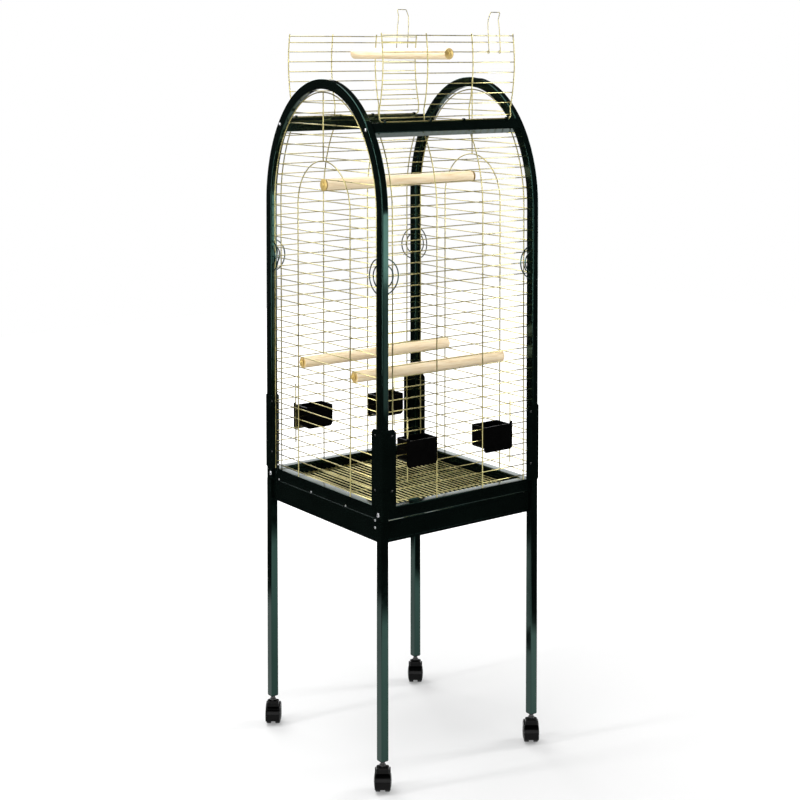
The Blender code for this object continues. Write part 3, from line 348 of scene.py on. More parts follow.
def wood_material(name, along):
    """Pale planed dowel: long fine grain on its side, and darker sawn ends."""
    made, tree, shader = shader_of(name)
    stretch = [1.0, 1.0, 1.0]
    stretch[along] = 0.06
    grain = noise(tree, 260, 6, stretch, 0.6)
    planed = [(0.30, (0.70, 0.50, 0.27)), (0.48, (0.84, 0.68, 0.45)), (0.75, (0.90, 0.78, 0.57))]
    sawn = [(0.35, (0.50, 0.34, 0.11)), (0.70, (0.66, 0.50, 0.20))]
    normal = node(tree, "ShaderNodeNewGeometry").outputs["True Normal"]
    split = node(tree, "ShaderNodeSeparateXYZ", [normal])
    facing = spread(tree, reckon(tree, "ABSOLUTE", split.outputs[along]), 0.0, 1.0, 0.80, 0.95)
    mix = node(tree, "ShaderNodeMix", Factor=facing)
    mix.data_type = "RGBA"
    feed(tree, mix.inputs[6], ramp(tree, grain, planed))
    feed(tree, mix.inputs[7], ramp(tree, noise(tree, 700, 3), sawn))
    feed(tree, shader.inputs["Base Color"], mix.outputs[2])
    feed(tree, shader.inputs["Roughness"], spread(tree, grain, 0.42, 0.60))
    bump(tree, shader, grain, 0.25, 0.0004)
    return made


def plastic_material(name, dark, light, rough, grain, shine):
    """Moulded plastic with a fine even grain."""
    return surface(name, dark, light, (30, 3), rough, (90, 4), (grain, 2, 0.1, 0.0003), 0.0, shine)


def steel_material(name, dark, light, rough):
    return surface(name, dark, light, (120, 5), rough, (300, 4), (800, 2, 0.1, 0.0002), 1.0)


# Geometry

def square_to(axis):
    """A direction at right angles to an axis."""
    start = UP if abs(axis.z) < 0.9 else ACROSS
    return (start - axis * start.dot(axis)).normalized()


def arc_points(radius, first, last, steps):
    """Points (a, b) of an arc about the origin, from one angle to another."""
    turns = [first + (last - first) * k / steps for k in range(steps + 1)]
    return [(radius * cos(turn), radius * sin(turn)) for turn in turns]


def circle(centre, out, side, radius, count):
    """Points of a circle round a centre, in the plane of two directions."""
    return [centre + out * a + side * b for a, b in arc_points(radius, 0, 2 * pi, count)[:-1]]


class Shape:
    """Collects the points and faces of one piece."""

    def __init__(self):
        self.points = []
        self.faces = []

    def loft(self, rings, closed=False, caps=True):
        """Joins rings of points. A closed loft ends on its first ring, and an open one may have caps."""
        base = len(self.points)
        count = len(rings[0])
        for ring in rings:
            self.points.extend(Vector(point) for point in ring)
        spans = len(rings) if closed else len(rings) - 1
        for i in range(spans):
            low = base + i * count
            high = base + (i + 1) % len(rings) * count
            for k in range(count):
                j = (k + 1) % count
                self.faces.append((low + k, low + j, high + j, high + k))
        if caps and not closed:
            self.faces.append(tuple(base + k for k in reversed(range(count))))
            last = base + (len(rings) - 1) * count
            self.faces.append(tuple(last + k for k in range(count)))

    def tube(self, path, radius, sides=10, closed=False, ease=0.0003):
        """A round wire along a path, with slightly eased ends."""
        path = [Vector(point) for point in path]
        count = len(path)
        spans = count if closed else count - 1
        along = [(path[(i + 1) % count] - path[i]).normalized() for i in range(spans)]
        before = along[0]
        out = square_to(before)
        rings = []
        for i, point in enumerate(path):
            first = not closed and i == 0
            last = not closed and i == count - 1
            tangent = along[min(i, spans - 1)]
            if not first and not last:
                tangent = (along[i - 1] + along[i]).normalized()
            out = before.rotation_difference(tangent) @ out
            out = (out - tangent * out.dot(tangent)).normalized()
            before = tangent
            side = tangent.cross(out)
            if first:
                rings.append(circle(point, out, side, radius - ease, sides))
                point = point + tangent * ease
            if last:
                rings.append(circle(point - tangent * ease, out, side, radius, sides))
            rings.append(circle(point, out, side, radius - ease if last else radius, sides))
        self.loft(rings, closed)

    def lathe(self, profile, sides, axis, centre):
        """Turns (radius, height) points about an axis through the centre. A radius of 0 closes an end."""
        axis = Vector(axis).normalized()
        out = square_to(axis)
        side = axis.cross(out)
        centre = Vector(centre)
        self.loft([circle(centre + axis * height, out, side, max(radius, 1e-6), sides)
                   for radius, height in profile])

    def strip(self, outer, inner, place, low, high):
        """Sheet between two chains of 2-D points, run from low to high. place(a, b, height) makes the point.

        high may be one height or one for each point of the chain.
        """
        tops = high if isinstance(high, (list, tuple)) else [high] * len(outer)
        chain = list(outer) + list(reversed(inner))
        heights = list(tops) + list(reversed(tops))
        rings = [[place(a, b, low) for a, b in chain], [place(a, b, h) for (a, b), h in zip(chain, heights)]]
        base = len(self.points)
        count = len(chain)
        self.loft(rings, caps=False)
        half = len(outer)
        for level in (0, 1):
            start = base + level * count
            for i in range(half - 1):
                a, b, c, d = start + i, start + i + 1, start + count - 2 - i, start + count - 1 - i
                self.faces.append((a, b, c, d) if level else (d, c, b, a))

    def peg(self, radius, low, high, ease, sides, axis, centre):
        """A solid round bar with eased ends."""
        self.lathe([(0, low), (radius - ease, low), (radius, low + ease), (radius, high - ease),
                    (radius - ease, high), (0, high)], sides, axis, centre)

    def prism(self, outline, direction, ease=0.0005, segments=2):
        """An outline of 3-D points run along a direction, with its sharp edges eased."""
        bm = bmesh.new()
        near = [bm.verts.new(point) for point in outline]
        far = [bm.verts.new(Vector(point) + Vector(direction)) for point in outline]
        bm.faces.new(near)
        bm.faces.new(reversed(far))
        for i in range(len(near)):
            j = (i + 1) % len(near)
            bm.faces.new((near[j], near[i], far[i], far[j]))
        bmesh.ops.recalc_face_normals(bm, faces=bm.faces)
        if ease:
            sharp = [edge for edge in bm.edges if edge.calc_face_angle(0) > radians(40)]
            bmesh.ops.bevel(bm, geom=sharp, offset=ease, segments=segments, profile=0.5, affect="EDGES",
                            clamp_overlap=True)
        base = len(self.points)
        bm.verts.index_update()
        self.points.extend(vert.co.copy() for vert in bm.verts)
        self.faces.extend(tuple(base + vert.index for vert in face.verts) for face in bm.faces)
        bm.free()


def weigh_normals(mesh, limit):
    """Sets each corner's normal from the faces round its point by area, so wide flat faces stay flat."""
    touching = [[] for _ in mesh.vertices]
    for face in mesh.polygons:
        for vertex in face.vertices:
            touching[vertex].append((face.normal.copy(), face.area))
    normals = []
    for face in mesh.polygons:
        for vertex in face.vertices:
            total = Vector((0, 0, 0))
            for normal, area in touching[vertex]:
                if normal.dot(face.normal) > limit:
                    total += normal * area
            normals.append(total.normalized() if total.length > 0 else face.normal)
    mesh.normals_split_custom_set(normals)


def add_object(name, data):
    made = bpy.data.objects.new(name, data)
    bpy.context.scene.collection.objects.link(made)
    return made


def finish(name, shape, look, nodes=(), body="cage", smooth=35):
    """Makes the object, gives it its material, and puts it on its body in place of its solids."""
    material, slot = look
    mesh = bpy.data.meshes.new(name)
    mesh.from_pydata([point + SHIFT for point in shape.points], [], shape.faces)
    bm = bmesh.new()
    bm.from_mesh(mesh)
    bmesh.ops.recalc_face_normals(bm, faces=bm.faces)
    bm.to_mesh(mesh)
    bm.free()
    mesh.shade_smooth()
    mesh.set_sharp_from_angle(angle=radians(smooth))
    if slot != "wire":
        weigh_normals(mesh, cos(radians(smooth)))
    mesh.materials.append(material)
    piece = add_object(name, mesh)
    if nodes:
        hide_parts(*nodes)
    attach(piece, body)


def rounded(points, radius, steps=4):
    """A closed 2-D outline with each corner rounded. radius may be one value or one for each corner."""
    radii = radius if isinstance(radius, (list, tuple)) else [radius] * len(points)
    made = []
    for i, point in enumerate(points):
        corner = Vector(point)
        back = (Vector(points[i - 1]) - corner).normalized()
        ahead = (Vector(points[(i + 1) % len(points)]) - corner).normalized()
        made.extend(bend(corner, back, ahead, radii[i], steps))
    return made


def bend(corner, back, ahead, radius, steps):
    """Points of an arc that rounds a corner between two directions that leave it. In 2-D or 3-D."""
    turn = pi - back.angle(ahead)
    if radius <= 0 or turn < 1e-4:
        return [corner]
    reach = radius * tan(turn / 2)
    centre = corner + (back + ahead).normalized() * (radius / cos(turn / 2))
    first = corner + back * reach - centre
    last = corner + ahead * reach - centre
    shares = [k / steps for k in range(steps + 1)]
    return [centre + (first * sin((1 - share) * turn) + last * sin(share * turn)) / sin(turn)
            for share in shares]


def softened(path, radius, steps=5):
    """An open path with its inner corners rounded."""
    path = [Vector(point) for point in path]
    made = [path[0]]
    for before, corner, after in zip(path, path[1:], path[2:]):
        back, ahead = (before - corner).normalized(), (after - corner).normalized()
        made.extend(bend(corner, back, ahead, radius, steps))
    made.append(path[-1])
    return made


def box(a, b, radius, steps):
    """A rectangle of half sizes a and b with rounded corners."""
    return rounded([(a, -b), (a, b), (-a, b), (-a, -b)], radius, steps)


def ellipse(half_span, rise, angle):
    return half_span * cos(angle), ARCH_SPRING + rise * sin(angle)


# Stand and casters

def legs(enamel, plastic):
    half = LEG_SIDE / 2
    outer = box(half, half, LEG_ROUND, 5)
    inner = box(half - LEG_WALL, half - LEG_WALL, LEG_ROUND - LEG_WALL * 0.6, 5)
    flange = half - FIT
    body = flange - LEG_WALL
    rim = LEG_LOW - PLUG_RIM
    levels = ((flange - 0.0006, rim), (flange, rim + 0.0006), (flange, LEG_LOW - FIT), (body, LEG_LOW - FIT),
              (body, LEG_LOW + PLUG_DEPTH))
    for place, (sx, sy) in CORNERS.items():
        x, y = sx * LEG_X, sy * LEG_Y
        shape = Shape()
        shape.loft([[(x + a, y + b, z) for a, b in ring] for ring, z in
                    ((outer, LEG_LOW), (outer, LEG_TOP), (inner, LEG_TOP), (inner, LEG_LOW))], closed=True)
        finish(f"leg_tube_{place}", shape, enamel, [f"leg_{place}"])

        plug = Shape()
        rings = [[(x + a, y + b, z) for a, b in box(size, size, PLUG_ROUND, 5)]
                 for size, z in levels]
        turns = [atan2(point[1] - y, point[0] - x) for point in rings[0]]
        bore = STEM_RADIUS + FIT
        for z in (levels[-1][1], levels[0][1]):
            rings.append([(x + bore * cos(t), y + bore * sin(t), z) for t in turns])
        plug.loft(rings, closed=True)
        finish(f"leg_foot_plug_{place}", plug, plastic, [f"leg_plug_{place}"])


def wheel_profile():
    """(radius, height) points of one wheel: bore, dished inner side, tread and domed cap."""
    r, inner, tread, cap = WHEEL_RADIUS, WHEEL_INNER_X, WHEEL_TREAD_X, WHEEL_OUTER_X
    bore, bottom, dish = AXLE_RADIUS + FIT, tread - 0.003, inner + 0.0012
    return [(0, bottom), (bore, bottom), (bore, inner), (0.0070, inner), (0.0075, dish), (r - 0.0055, dish),
            (r - 0.0045, inner), (r - 0.0016, inner), (r - 0.0005, inner + 0.0005), (r, inner + 0.0016),
            (r, tread - 0.0022), (r - 0.0006, tread - 0.0008), (r - 0.0020, tread + 0.0004),
            (r - 0.0035, tread + 0.0006), (r - 0.0040, tread + 0.0002), (r - 0.0048, tread + 0.0004),
            (r * 0.62, cap - 0.0009), (r * 0.42, cap - 0.0001), (r * 0.2, cap + 0.0003), (0, cap + 0.0005)]


def casters(plastic, hood_plastic, steel):
    """Twin-wheel casters: a hood with its web and boss, the axle, a stem, and two domed wheels each."""
    across = Vector((cos(CASTER_HEADING), sin(CASTER_HEADING), 0))
    away = Vector((-sin(CASTER_HEADING), cos(CASTER_HEADING), 0))
    shell = arc_points(HOOD_INNER + HOOD_WALL, 0, HOOD_SWEEP, 40) + arc_points(HOOD_INNER, HOOD_SWEEP, 0, 40)
    web = arc_points(HOOD_INNER + 0.001, *HOOD_WEB_SWEEP, 24) + [(-0.0040, -0.0090), (0.0040, -0.0090)]
    bore, low, high, boss = STEM_RADIUS + FIT, HOOD_TOP - 0.001, HOOD_TOP + 0.0028, HOOD_BOSS_HALF
    collar = [(bore, low), (0.0092, low), (0.0092, high - 0.0008), (0.0084, high), (bore, high)]
    sides = ((shell, HOOD_HALF_WIDTH, 0.0009, 3), (web, HOOD_WEB_HALF, 0.0008, 2))
    levels = ((boss, 0.0125, WHEEL_RADIUS + HOOD_INNER + FIT), (boss, 0.0125, HOOD_TOP - 0.0035),
              (boss - 0.0012, 0.0113, HOOD_TOP - 0.0010), (boss - 0.0030, 0.0100, HOOD_TOP))
    core, nut = STEM_RADIUS - 0.0005, NUT_RADIUS
    nut_side = [(core, NUT_LOW), (nut - 0.0006, NUT_LOW), (nut, NUT_LOW + 0.0006), (nut, NUT_HIGH - 0.0006),
                (nut - 0.0006, NUT_HIGH), (core, NUT_HIGH)]
    for place, (sx, sy) in CORNERS.items():
        stem_at = Vector((sx * LEG_X, sy * LEG_Y, 0))
        axle_at = stem_at + away * CASTER_TRAIL + UP * WHEEL_RADIUS

        stem = Shape()
        stem.peg(STEM_RADIUS, STEM_LOW, STEM_HIGH, 0.001, 32, UP, stem_at)
        stem.lathe(nut_side, 32, UP, stem_at)
        finish(f"stem_{place}", stem, steel, [f"caster_stem_{place}"])

        hood = Shape()
        for points, half, *edge in sides:
            near = [axle_at - across * half + away * y + UP * z for y, z in points]
            hood.prism(near, across * (2 * half), *edge)
        hood.loft([[stem_at + across * u + away * v + UP * z for u, v in box(a, b, 0.0035, 4)]
                   for a, b, z in levels])
        hood.lathe(collar, 32, UP, stem_at)
        finish(f"hood_{place}", hood, hood_plastic, [f"caster_hood_{place}"], f"caster_{place}")

        axle = Shape()
        reach = WHEEL_TREAD_X - 0.0033
        axle.peg(AXLE_RADIUS, -reach, reach, 0.0004, 24, across, axle_at)
        finish(f"axle_{place}", axle, steel, [f"caster_axle_{place}"], f"caster_{place}")

        for side, label in ((-1, "a"), (1, "b")):
            wheel = Shape()
            wheel.lathe(wheel_profile(), WHEEL_SIDES, across * side, axle_at)
            name = f"wheel_{place}_{label}"
            finish(name, wheel, plastic, [f"caster_{name}"], name, smooth=32)


# Base ring, skirts, drawer, grate and clip

def notched(inset):
    """The ring's plan with a notch round each arch tube, at a distance inside its outer face."""
    x, y = RING_X - inset, RING_Y - inset
    a, b = PANEL_HALF_X - inset, ARCH_INNER_SPAN - FIT - inset
    return around([(x, b), (a, b), (a, y)])


def plain(x, y, reach=0.02):
    """A plain rectangle with the same count of points as the notched plan."""
    return around([(x, y - reach), (x, y), (x - reach, y)])


def around(quarter):
    """A closed plan from the points of its back right quarter."""
    points = list(quarter)
    points += [(-a, b) for a, b in reversed(quarter)]
    points += [(-a, -b) for a, b in quarter]
    points += [(a, -b) for a, b in reversed(quarter)]
    return points


def base_ring(enamel):
    rim_x, rim_y = RING_X - RIM_FLANGE, RING_Y - RIM_FLANGE
    ledge_x, ledge_y = RING_X - GRATE_LEDGE, RING_Y - GRATE_LEDGE
    mid = FOLD * (1 - sqrt(0.5))
    loops = [(plain(ledge_x, ledge_y), RING_LOW), (notched(FOLD), RING_LOW), (notched(mid), RING_LOW + mid),
             (notched(0), RING_LOW + FOLD), (notched(0), RING_TOP - FOLD), (notched(mid), RING_TOP - mid),
             (notched(FOLD), RING_TOP), (plain(rim_x + 0.0003, rim_y + 0.0003), RING_TOP),
             (plain(rim_x, rim_y), RING_TOP - 0.0003), (plain(rim_x, rim_y), RING_TOP - SHEET),
             (notched(SHEET + 0.001), RING_TOP - SHEET), (notched(SHEET), RING_TOP - SHEET - 0.001),
             (notched(SHEET), RING_LOW + SHEET + 0.001), (notched(SHEET + 0.001), RING_LOW + SHEET),
             (plain(ledge_x, ledge_y), RING_LOW + SHEET)]
    shape = Shape()
    shape.loft([[(a, b, z) for a, b in loop] for loop, z in loops], closed=True)
    finish("base_band", shape, enamel, ["base_ring"], smooth=50)


def channel(wall, inward, runner):
    """The outer and inner chains of a skirt's section, with a runner below and a return above."""
    chains = []
    for depth in (0, SHEET):
        a, low, high = wall + inward * depth, SKIRT_LOW + depth, LEG_TOP - depth
        chain = [(wall + inward * runner, low), (a, low), (a, high), (wall + inward * SKIRT_RETURN, high)]
        chains.append(softened(chain, FOLD - depth, 4))
    return chains


def skirts(enamel):
    rows = [(name, side * RING_X, -side, SKIRT_RUNNER, lambda a, b, h: Vector((a, h, b)), LEG_GAP_Y)
            for name, side in SIDES.items()]
    rows.append(("back", RING_Y, -1, SKIRT_BACK_RUNNER, lambda a, b, h: Vector((h, a, b)), LEG_GAP_X))
    for name, wall, inward, runner, put, half in rows:
        shape = Shape()
        shape.strip(*channel(wall, inward, runner), put, -half, half)
        finish(f"skirt_panel_{name}", shape, enamel, [f"skirt_{name}"])


def drawer(enamel):
    shape = Shape()
    floor = SKIRT_LOW + SHEET + FIT
    rings = []
    for wall, corner, *heights in ((0, 0.003, floor, DRAWER_TOP), (SHEET, 0.002, DRAWER_TOP, floor + SHEET)):
        x, front, back = DRAWER_HALF - wall, -RING_Y + SHEET + wall, RING_Y - 0.004 - wall
        ring = rounded([(x, front), (x, back), (-x, back), (-x, front)], [0, corner, corner, 0], 4)
        rings += [[(a, b, z) for a, b in ring] for z in heights]
    shape.loft(rings)
    half, low, high = LEG_GAP_X, DRAWER_FRONT_LOW, DRAWER_FRONT_TOP
    plate = [(-half, low), (half, low), (half, high), (-half, high)]
    shape.prism([(a, -RING_Y, z) for a, z in plate], (0, SHEET, 0), 0.0004)
    finish("drawer_tray", shape, enamel, ["drawer"], "drawer")


def grate(wire):
    shape = Shape()
    bar_z = RING_LOW + SHEET + FIT + GRATE_BAR_RADIUS
    long_z = bar_z + GRATE_BAR_RADIUS + ROW_RADIUS - WELD_BITE
    first = -GRATE_PITCH * (GRATE_WIRES - 1) / 2
    for k in range(GRATE_WIRES):
        x = first + k * GRATE_PITCH
        shape.tube([(x, -GRATE_END_Y, long_z), (x, GRATE_END_Y, long_z)], ROW_RADIUS)
    for y in GRATE_BAR_Y:
        shape.tube([(-GRATE_HALF_X, y, bar_z), (GRATE_HALF_X, y, bar_z)], GRATE_BAR_RADIUS)
    finish("floor_grate", shape, wire, ["grate"], "grate")


def rim_clip(enamel):
    low = RING_TOP + FIT
    front = -RING_Y + 0.0035
    back, lip = front + CLIP_DEPTH, low + CLIP_LIP
    chains = []
    for sheet, corner in ((0, 0.002), (CLIP_SHEET, 0.0008)):
        a, b = back - sheet, low + sheet
        chains.append(softened([(front, b), (a, b), (a, lip)], corner, 4))
    shape = Shape()
    shape.strip(*chains, lambda a, b, h: Vector((h, a, b)), *CLIP_X)
    finish("rim_latch_clip", shape, enamel, ["rim_clip"])


# Arches, bars and brackets

def arches(enamel):
    section = box(ARCH_THICK / 2, ARCH_DEPTH / 2, ARCH_ROUND, 5)
    steps = 144
    over = CAD_LAYER + 2 * CAD_UPRIGHT_HALF + FIT
    post_y = ARCH_HALF_SPAN - ARCH_DEPTH / 2
    for name, side in SIDES.items():
        shape = Shape()
        rings = []
        for k in range(-1, steps + 2):
            angle = pi * min(max(k, 0), steps) / steps
            out = Vector((cos(angle), sin(angle)))
            middle = Vector(ellipse(ARCH_INNER_SPAN, ARCH_INNER_RISE, angle)) + out * ARCH_DEPTH / 2
            at_foot = k < 0 or k > steps
            points = [(side * ARCH_X + a, middle + out * depth) for a, depth in section]
            rings.append([(x, point.x, ARCH_FOOT if at_foot else point.y) for x, point in points])
        shape.loft(rings)
        for end in (-1, 1):
            for radius in ROSETTE_RADII:
                front = Vector((side * ARCH_X, end * (PANEL_Y + over), ROSETTE_Z))
                half_ring(shape, front, ACROSS * -side, radius, ARCH_THICK / 2 - 0.001)
                flank = Vector((side * (PANEL_X + over), end * post_y, ROSETTE_Z))
                half_ring(shape, flank, BACK * -end, radius, ARCH_DEPTH / 2 - 0.001)
        finish(f"arch_tube_{name}", shape, enamel, [f"arch_{name}"])


def half_ring(shape, centre, across, radius, root):
    last = acos(root / radius)
    path = [centre + across * a + UP * b for a, b in arc_points(radius, last, -last, 36)]
    shape.tube(path, UPRIGHT_RADIUS, 10)


def bar_frame(end):
    """A cross-bar's middle, the way its face looks and the way up along that face."""
    centre = Vector((0, end * BAR_Y, BAR_Z))
    normal = Vector((0, end * cos(BAR_TILT), sin(BAR_TILT)))
    tangent = Vector((0, -end * sin(BAR_TILT), cos(BAR_TILT)))
    return centre, normal, tangent


def hinge_axis(end):
    centre, normal, tangent = bar_frame(end)
    return centre + normal * (BAR_DEPTH / 2 + HINGE_STANDOFF) + tangent * (BAR_WIDTH / 2 - HINGE_BELOW_EDGE)


def cross_bars(enamel):
    section = box(BAR_DEPTH / 2, BAR_WIDTH / 2, ARCH_ROUND, 5)
    half, inner, outer = HINGE_CLIP_HALF, UPRIGHT_RADIUS + 0.0006, HINGE_STANDOFF + 0.0010
    clip = [(inner, -half), (outer - 0.0003, -half), (outer, 0.0003 - half), (outer, half - 0.0003),
            (outer - 0.0003, half), (inner, half)]
    for name, end in ENDS.items():
        centre, normal, tangent = bar_frame(end)
        shape = Shape()
        shape.loft([[centre + ACROSS * x + normal * a + tangent * b for a, b in section]
                    for x in (-PANEL_HALF_X, PANEL_HALF_X)])
        for x in BAR_CLIP_X:
            shape.loft([circle(hinge_axis(end) + ACROSS * (x + height), BACK, UP, radius, 24)
                        for radius, height in clip], closed=True)
        finish(f"cross_tube_{name}", shape, enamel, [f"cross_bar_{name}"])


def brackets(enamel):
    """Folded corner plates: one sheet round the outside of each arch foot, with its top corners cut."""
    low = RING_TOP + FIT
    high = low + BRACKET_HEIGHT
    cut = BRACKET_CHAMFER
    inner_x, inner_y = ARCH_X + ARCH_THICK / 2 + FIT, ARCH_HALF_SPAN + FIT
    tip_x, tip_y = inner_x + SHEET - BRACKET_FRONT_WING, inner_y + SHEET - BRACKET_SIDE_WING
    chains = []
    for sheet in (SHEET, 0):
        x, y = inner_x + sheet, inner_y + sheet
        chain = [(tip_x, y), (tip_x + cut, y), (x, y), (x, tip_y + cut), (x, tip_y)]
        chains.append(softened(chain, FOLD - SHEET + sheet, 5))
    heights = [high - cut] + [high] * (len(chains[0]) - 2) + [high - cut]
    for place, (sx, sy) in CORNERS.items():
        shape = Shape()
        shape.strip(*chains, lambda a, b, h: Vector((sx * a, sy * b, h)), low, heights)
        finish(f"corner_plate_{place}", shape, enamel, [f"corner_bracket_{place}"])


# Wire panels

def upright_curve():
    """A front or back upright's path (out, z): straight up, then along the ellipse to the cross-bar."""
    centre, _, tangent = bar_frame(1)
    down = -tangent.yz
    face = centre.yz + down * (BAR_WIDTH / 2)
    points = [Vector((UPRIGHT_Y, PANEL_FOOT))]
    for k in range(97):
        point = Vector(ellipse(UPRIGHT_Y, ARCH_RISE - ARCH_HALF_SPAN + UPRIGHT_Y, pi / 2 * k / 96))
        if (point - face).dot(down) < 0.0008:
            break
        points.append(point)
    return points


def rows_on_curve(points, first, pitch):
    """(place, outward normal) of each row that crosses a path, at even distances from its start."""
    rows = []
    walked = 0.0
    wanted = first
    for low, high in zip(points, points[1:]):
        length = (high - low).length
        while wanted <= walked + length:
            span = (high - low) / length
            rows.append((low + span * (wanted - walked), Vector((span.y, -span.x))))
            wanted += pitch
        walked += length
    return rows


def row_spans(index):
    """The stretches of a front or back row, which is cut at the cups' openings."""
    if index not in CUP_CUT_ROWS:
        return [(-PANEL_HALF_X, PANEL_HALF_X)]
    past = 0.0022
    return [(-PANEL_HALF_X, -CUP_STUB_X + past), (-CUP_UPRIGHT_X - past, CUP_UPRIGHT_X + past),
            (CUP_STUB_X - past, PANEL_HALF_X)]


def end_panels(wire):
    points = upright_curve()
    rows = rows_on_curve(points, FIRST_ROW - PANEL_FOOT, ROW_PITCH)
    for name, end in ENDS.items():
        shape = Shape()
        for index, (place, normal) in enumerate(rows):
            centre = place - normal * LAYER
            for low, high in row_spans(index):
                shape.tube([(low, end * centre.x, centre.y), (high, end * centre.x, centre.y)], ROW_RADIUS)
        for x in UPRIGHT_X:
            shape.tube([(x, end * point.x, point.y) for point in points], UPRIGHT_RADIUS, 12)
        for x in (-CUP_STUB_X, CUP_STUB_X):
            shape.tube([(x, end * UPRIGHT_Y, z) for z in CUP_STUB_Z], UPRIGHT_RADIUS, 12)
        finish(f"wire_panel_{name}", shape, wire, [f"panel_{name}"], smooth=60)


def side_panels(wire):
    rim_span = ARCH_INNER_SPAN - RIM_INSET
    rim_rise = ARCH_INNER_RISE - RIM_INSET
    rim_top = ARCH_SPRING + rim_rise
    spring = HAIRPIN_TOP - HAIRPIN_HALF
    for name, side in SIDES.items():
        shape = Shape()
        z = FIRST_ROW
        while z < rim_top - ROW_PITCH:
            above = max(0.0, z + ROW_RADIUS - ARCH_SPRING) / ARCH_INNER_RISE
            half = ARCH_INNER_SPAN * sqrt(1 - above ** 2) - FIT * (1 + above) - 0.0003
            shape.tube([(side * PANEL_X, -half, z), (side * PANEL_X, half, z)], ROW_RADIUS)
            z += ROW_PITCH
        x = side * SIDE_UPRIGHT_X
        rim = [ellipse(rim_span, rim_rise, pi * k / 96) for k in range(97)]
        hairpin = [(y, spring + z) for y, z in arc_points(HAIRPIN_HALF, 0, pi, 48)]
        for foot, bow in ((rim_span, rim), (HAIRPIN_HALF, hairpin)):
            path = [(foot, PANEL_FOOT)] + bow + [(-foot, PANEL_FOOT)]
            shape.tube([(x, y, z) for y, z in path], UPRIGHT_RADIUS, 12)
        shape.tube([(x, 0, HAIRPIN_TOP), (x, 0, rim_top)], UPRIGHT_RADIUS, 12)
        finish(f"wire_panel_{name}", shape, wire, [f"panel_{name}"], smooth=60)


# Roof flaps and latches

def flap_arc():
    """The flap's arc as a function of the share along it, giving the place and the outward normal."""
    chord = FLAP_TIP - FLAP_KINK
    length = chord.length
    radius = (length ** 2 / 4 + FLAP_BULGE ** 2) / (2 * FLAP_BULGE)
    half_angle = asin(length / 2 / radius)
    along = chord.normalized()
    out = Vector((along.y, -along.x))
    centre = (FLAP_KINK + FLAP_TIP) / 2 - out * (radius - FLAP_BULGE)

    def at(share):
        angle = half_angle * (2 * share - 1)
        normal = out * cos(angle) + along * sin(angle)
        return centre + normal * radius, normal
    return at


def cad_flap_row(index):
    """Where the solid model has a row, from which the latch takes its axis."""
    at = flap_arc()
    low, high = [at(sum(FLAP_CHORDS[:count]) / FLAP_TOTAL)[0] for count in (index - 1, index)]
    span = (high - low).normalized()
    return low.lerp(high, 0.5) - Vector((span.y, -span.x)) * CAD_LAYER


def flaps(wire):
    at = flap_arc()
    rows = [(FLAP_KINK * FLAP_FOOT_ROW, Vector((FLAP_KINK.y, -FLAP_KINK.x)).normalized())]
    walked = 0.0
    for step in FLAP_CHORDS:
        rows.append(at((walked + step / 2) / FLAP_TOTAL))
        walked += step
    arc = [at(k / 32)[0] for k in range(33)]
    path = softened([Vector((0, 0)), FLAP_KINK, arc[3]], 0.02, 6)[:-1] + arc[3:]
    for name, end in ENDS.items():
        origin = hinge_axis(end)

        def put(x, point):
            return origin + Vector((x, end * point[0], point[1]))

        shape = Shape()
        for place, normal in rows:
            centre = place - normal * LAYER
            shape.tube([put(-FLAP_EDGE_X, centre), put(FLAP_EDGE_X, centre)], ROW_RADIUS)
        up = [put(FLAP_EDGE_X, point) for point in reversed(path)]
        down = [put(-FLAP_EDGE_X, point) for point in path]
        right = bend(up[-1], (up[-2] - up[-1]).normalized(), -ACROSS, FLAP_CORNER, 8)
        left = bend(down[0], ACROSS, (down[1] - down[0]).normalized(), FLAP_CORNER, 8)
        shape.tube(up[:-1] + right + left + down[1:], UPRIGHT_RADIUS, 12)
        for x in FLAP_UPRIGHT_X:
            shape.tube([put(x, point) for point in path], UPRIGHT_RADIUS, 12)
        finish(f"roof_wire_{name}", shape, wire, [f"roof_flap_{name}"], f"flap_{name}", smooth=60)


def latches(wire):
    """Wire hooks. Each latch's numbers are its place along the row and its reach."""
    pivot, above = cad_flap_row(LATCH_ROW), cad_flap_row(LATCH_ROW + 1)
    cad_wire = LATCH_RADIUS * sqrt(pi / 2)
    start = Vector((CAD_ROW_HALF + FIT + cad_wire, 0))
    touch = above - pivot + Vector((CAD_ROW_HALF + cad_wire + 2 * FIT, 0))
    lean = (touch - start).normalized()
    for name, end in ENDS.items():
        middle, reach = LATCHES[name]
        half = LATCH_HALF
        origin = hinge_axis(end) + Vector((middle, end * pivot.x, pivot.y))
        top = start + lean * (reach - LATCH_BEND)
        hook = top + Vector((LATCH_BEND_OUT, LATCH_BEND))
        leg = [(half, start), (half, start + lean * (reach * 0.6)), (half - LATCH_TAPER, top),
               (half - LATCH_TAPER * 1.6, hook)]
        leg += [(-x, point) for x, point in reversed(leg)]
        path = [origin + Vector((x, end * point.x, point.y)) for x, point in leg]
        shape = Shape()
        shape.tube(softened(path, LATCH_CORNER, 6), LATCH_RADIUS, 12)
        for x in (-half, half):
            eye = circle(origin + ACROSS * x, BACK * end, UP, LATCH_EYE, 32)
            shape.tube(eye, LATCH_RADIUS, 12, closed=True)
        finish(f"hook_{name}", shape, wire, [f"latch_{name}"], f"latch_{name}", smooth=60)


# Cups, perches and fasteners

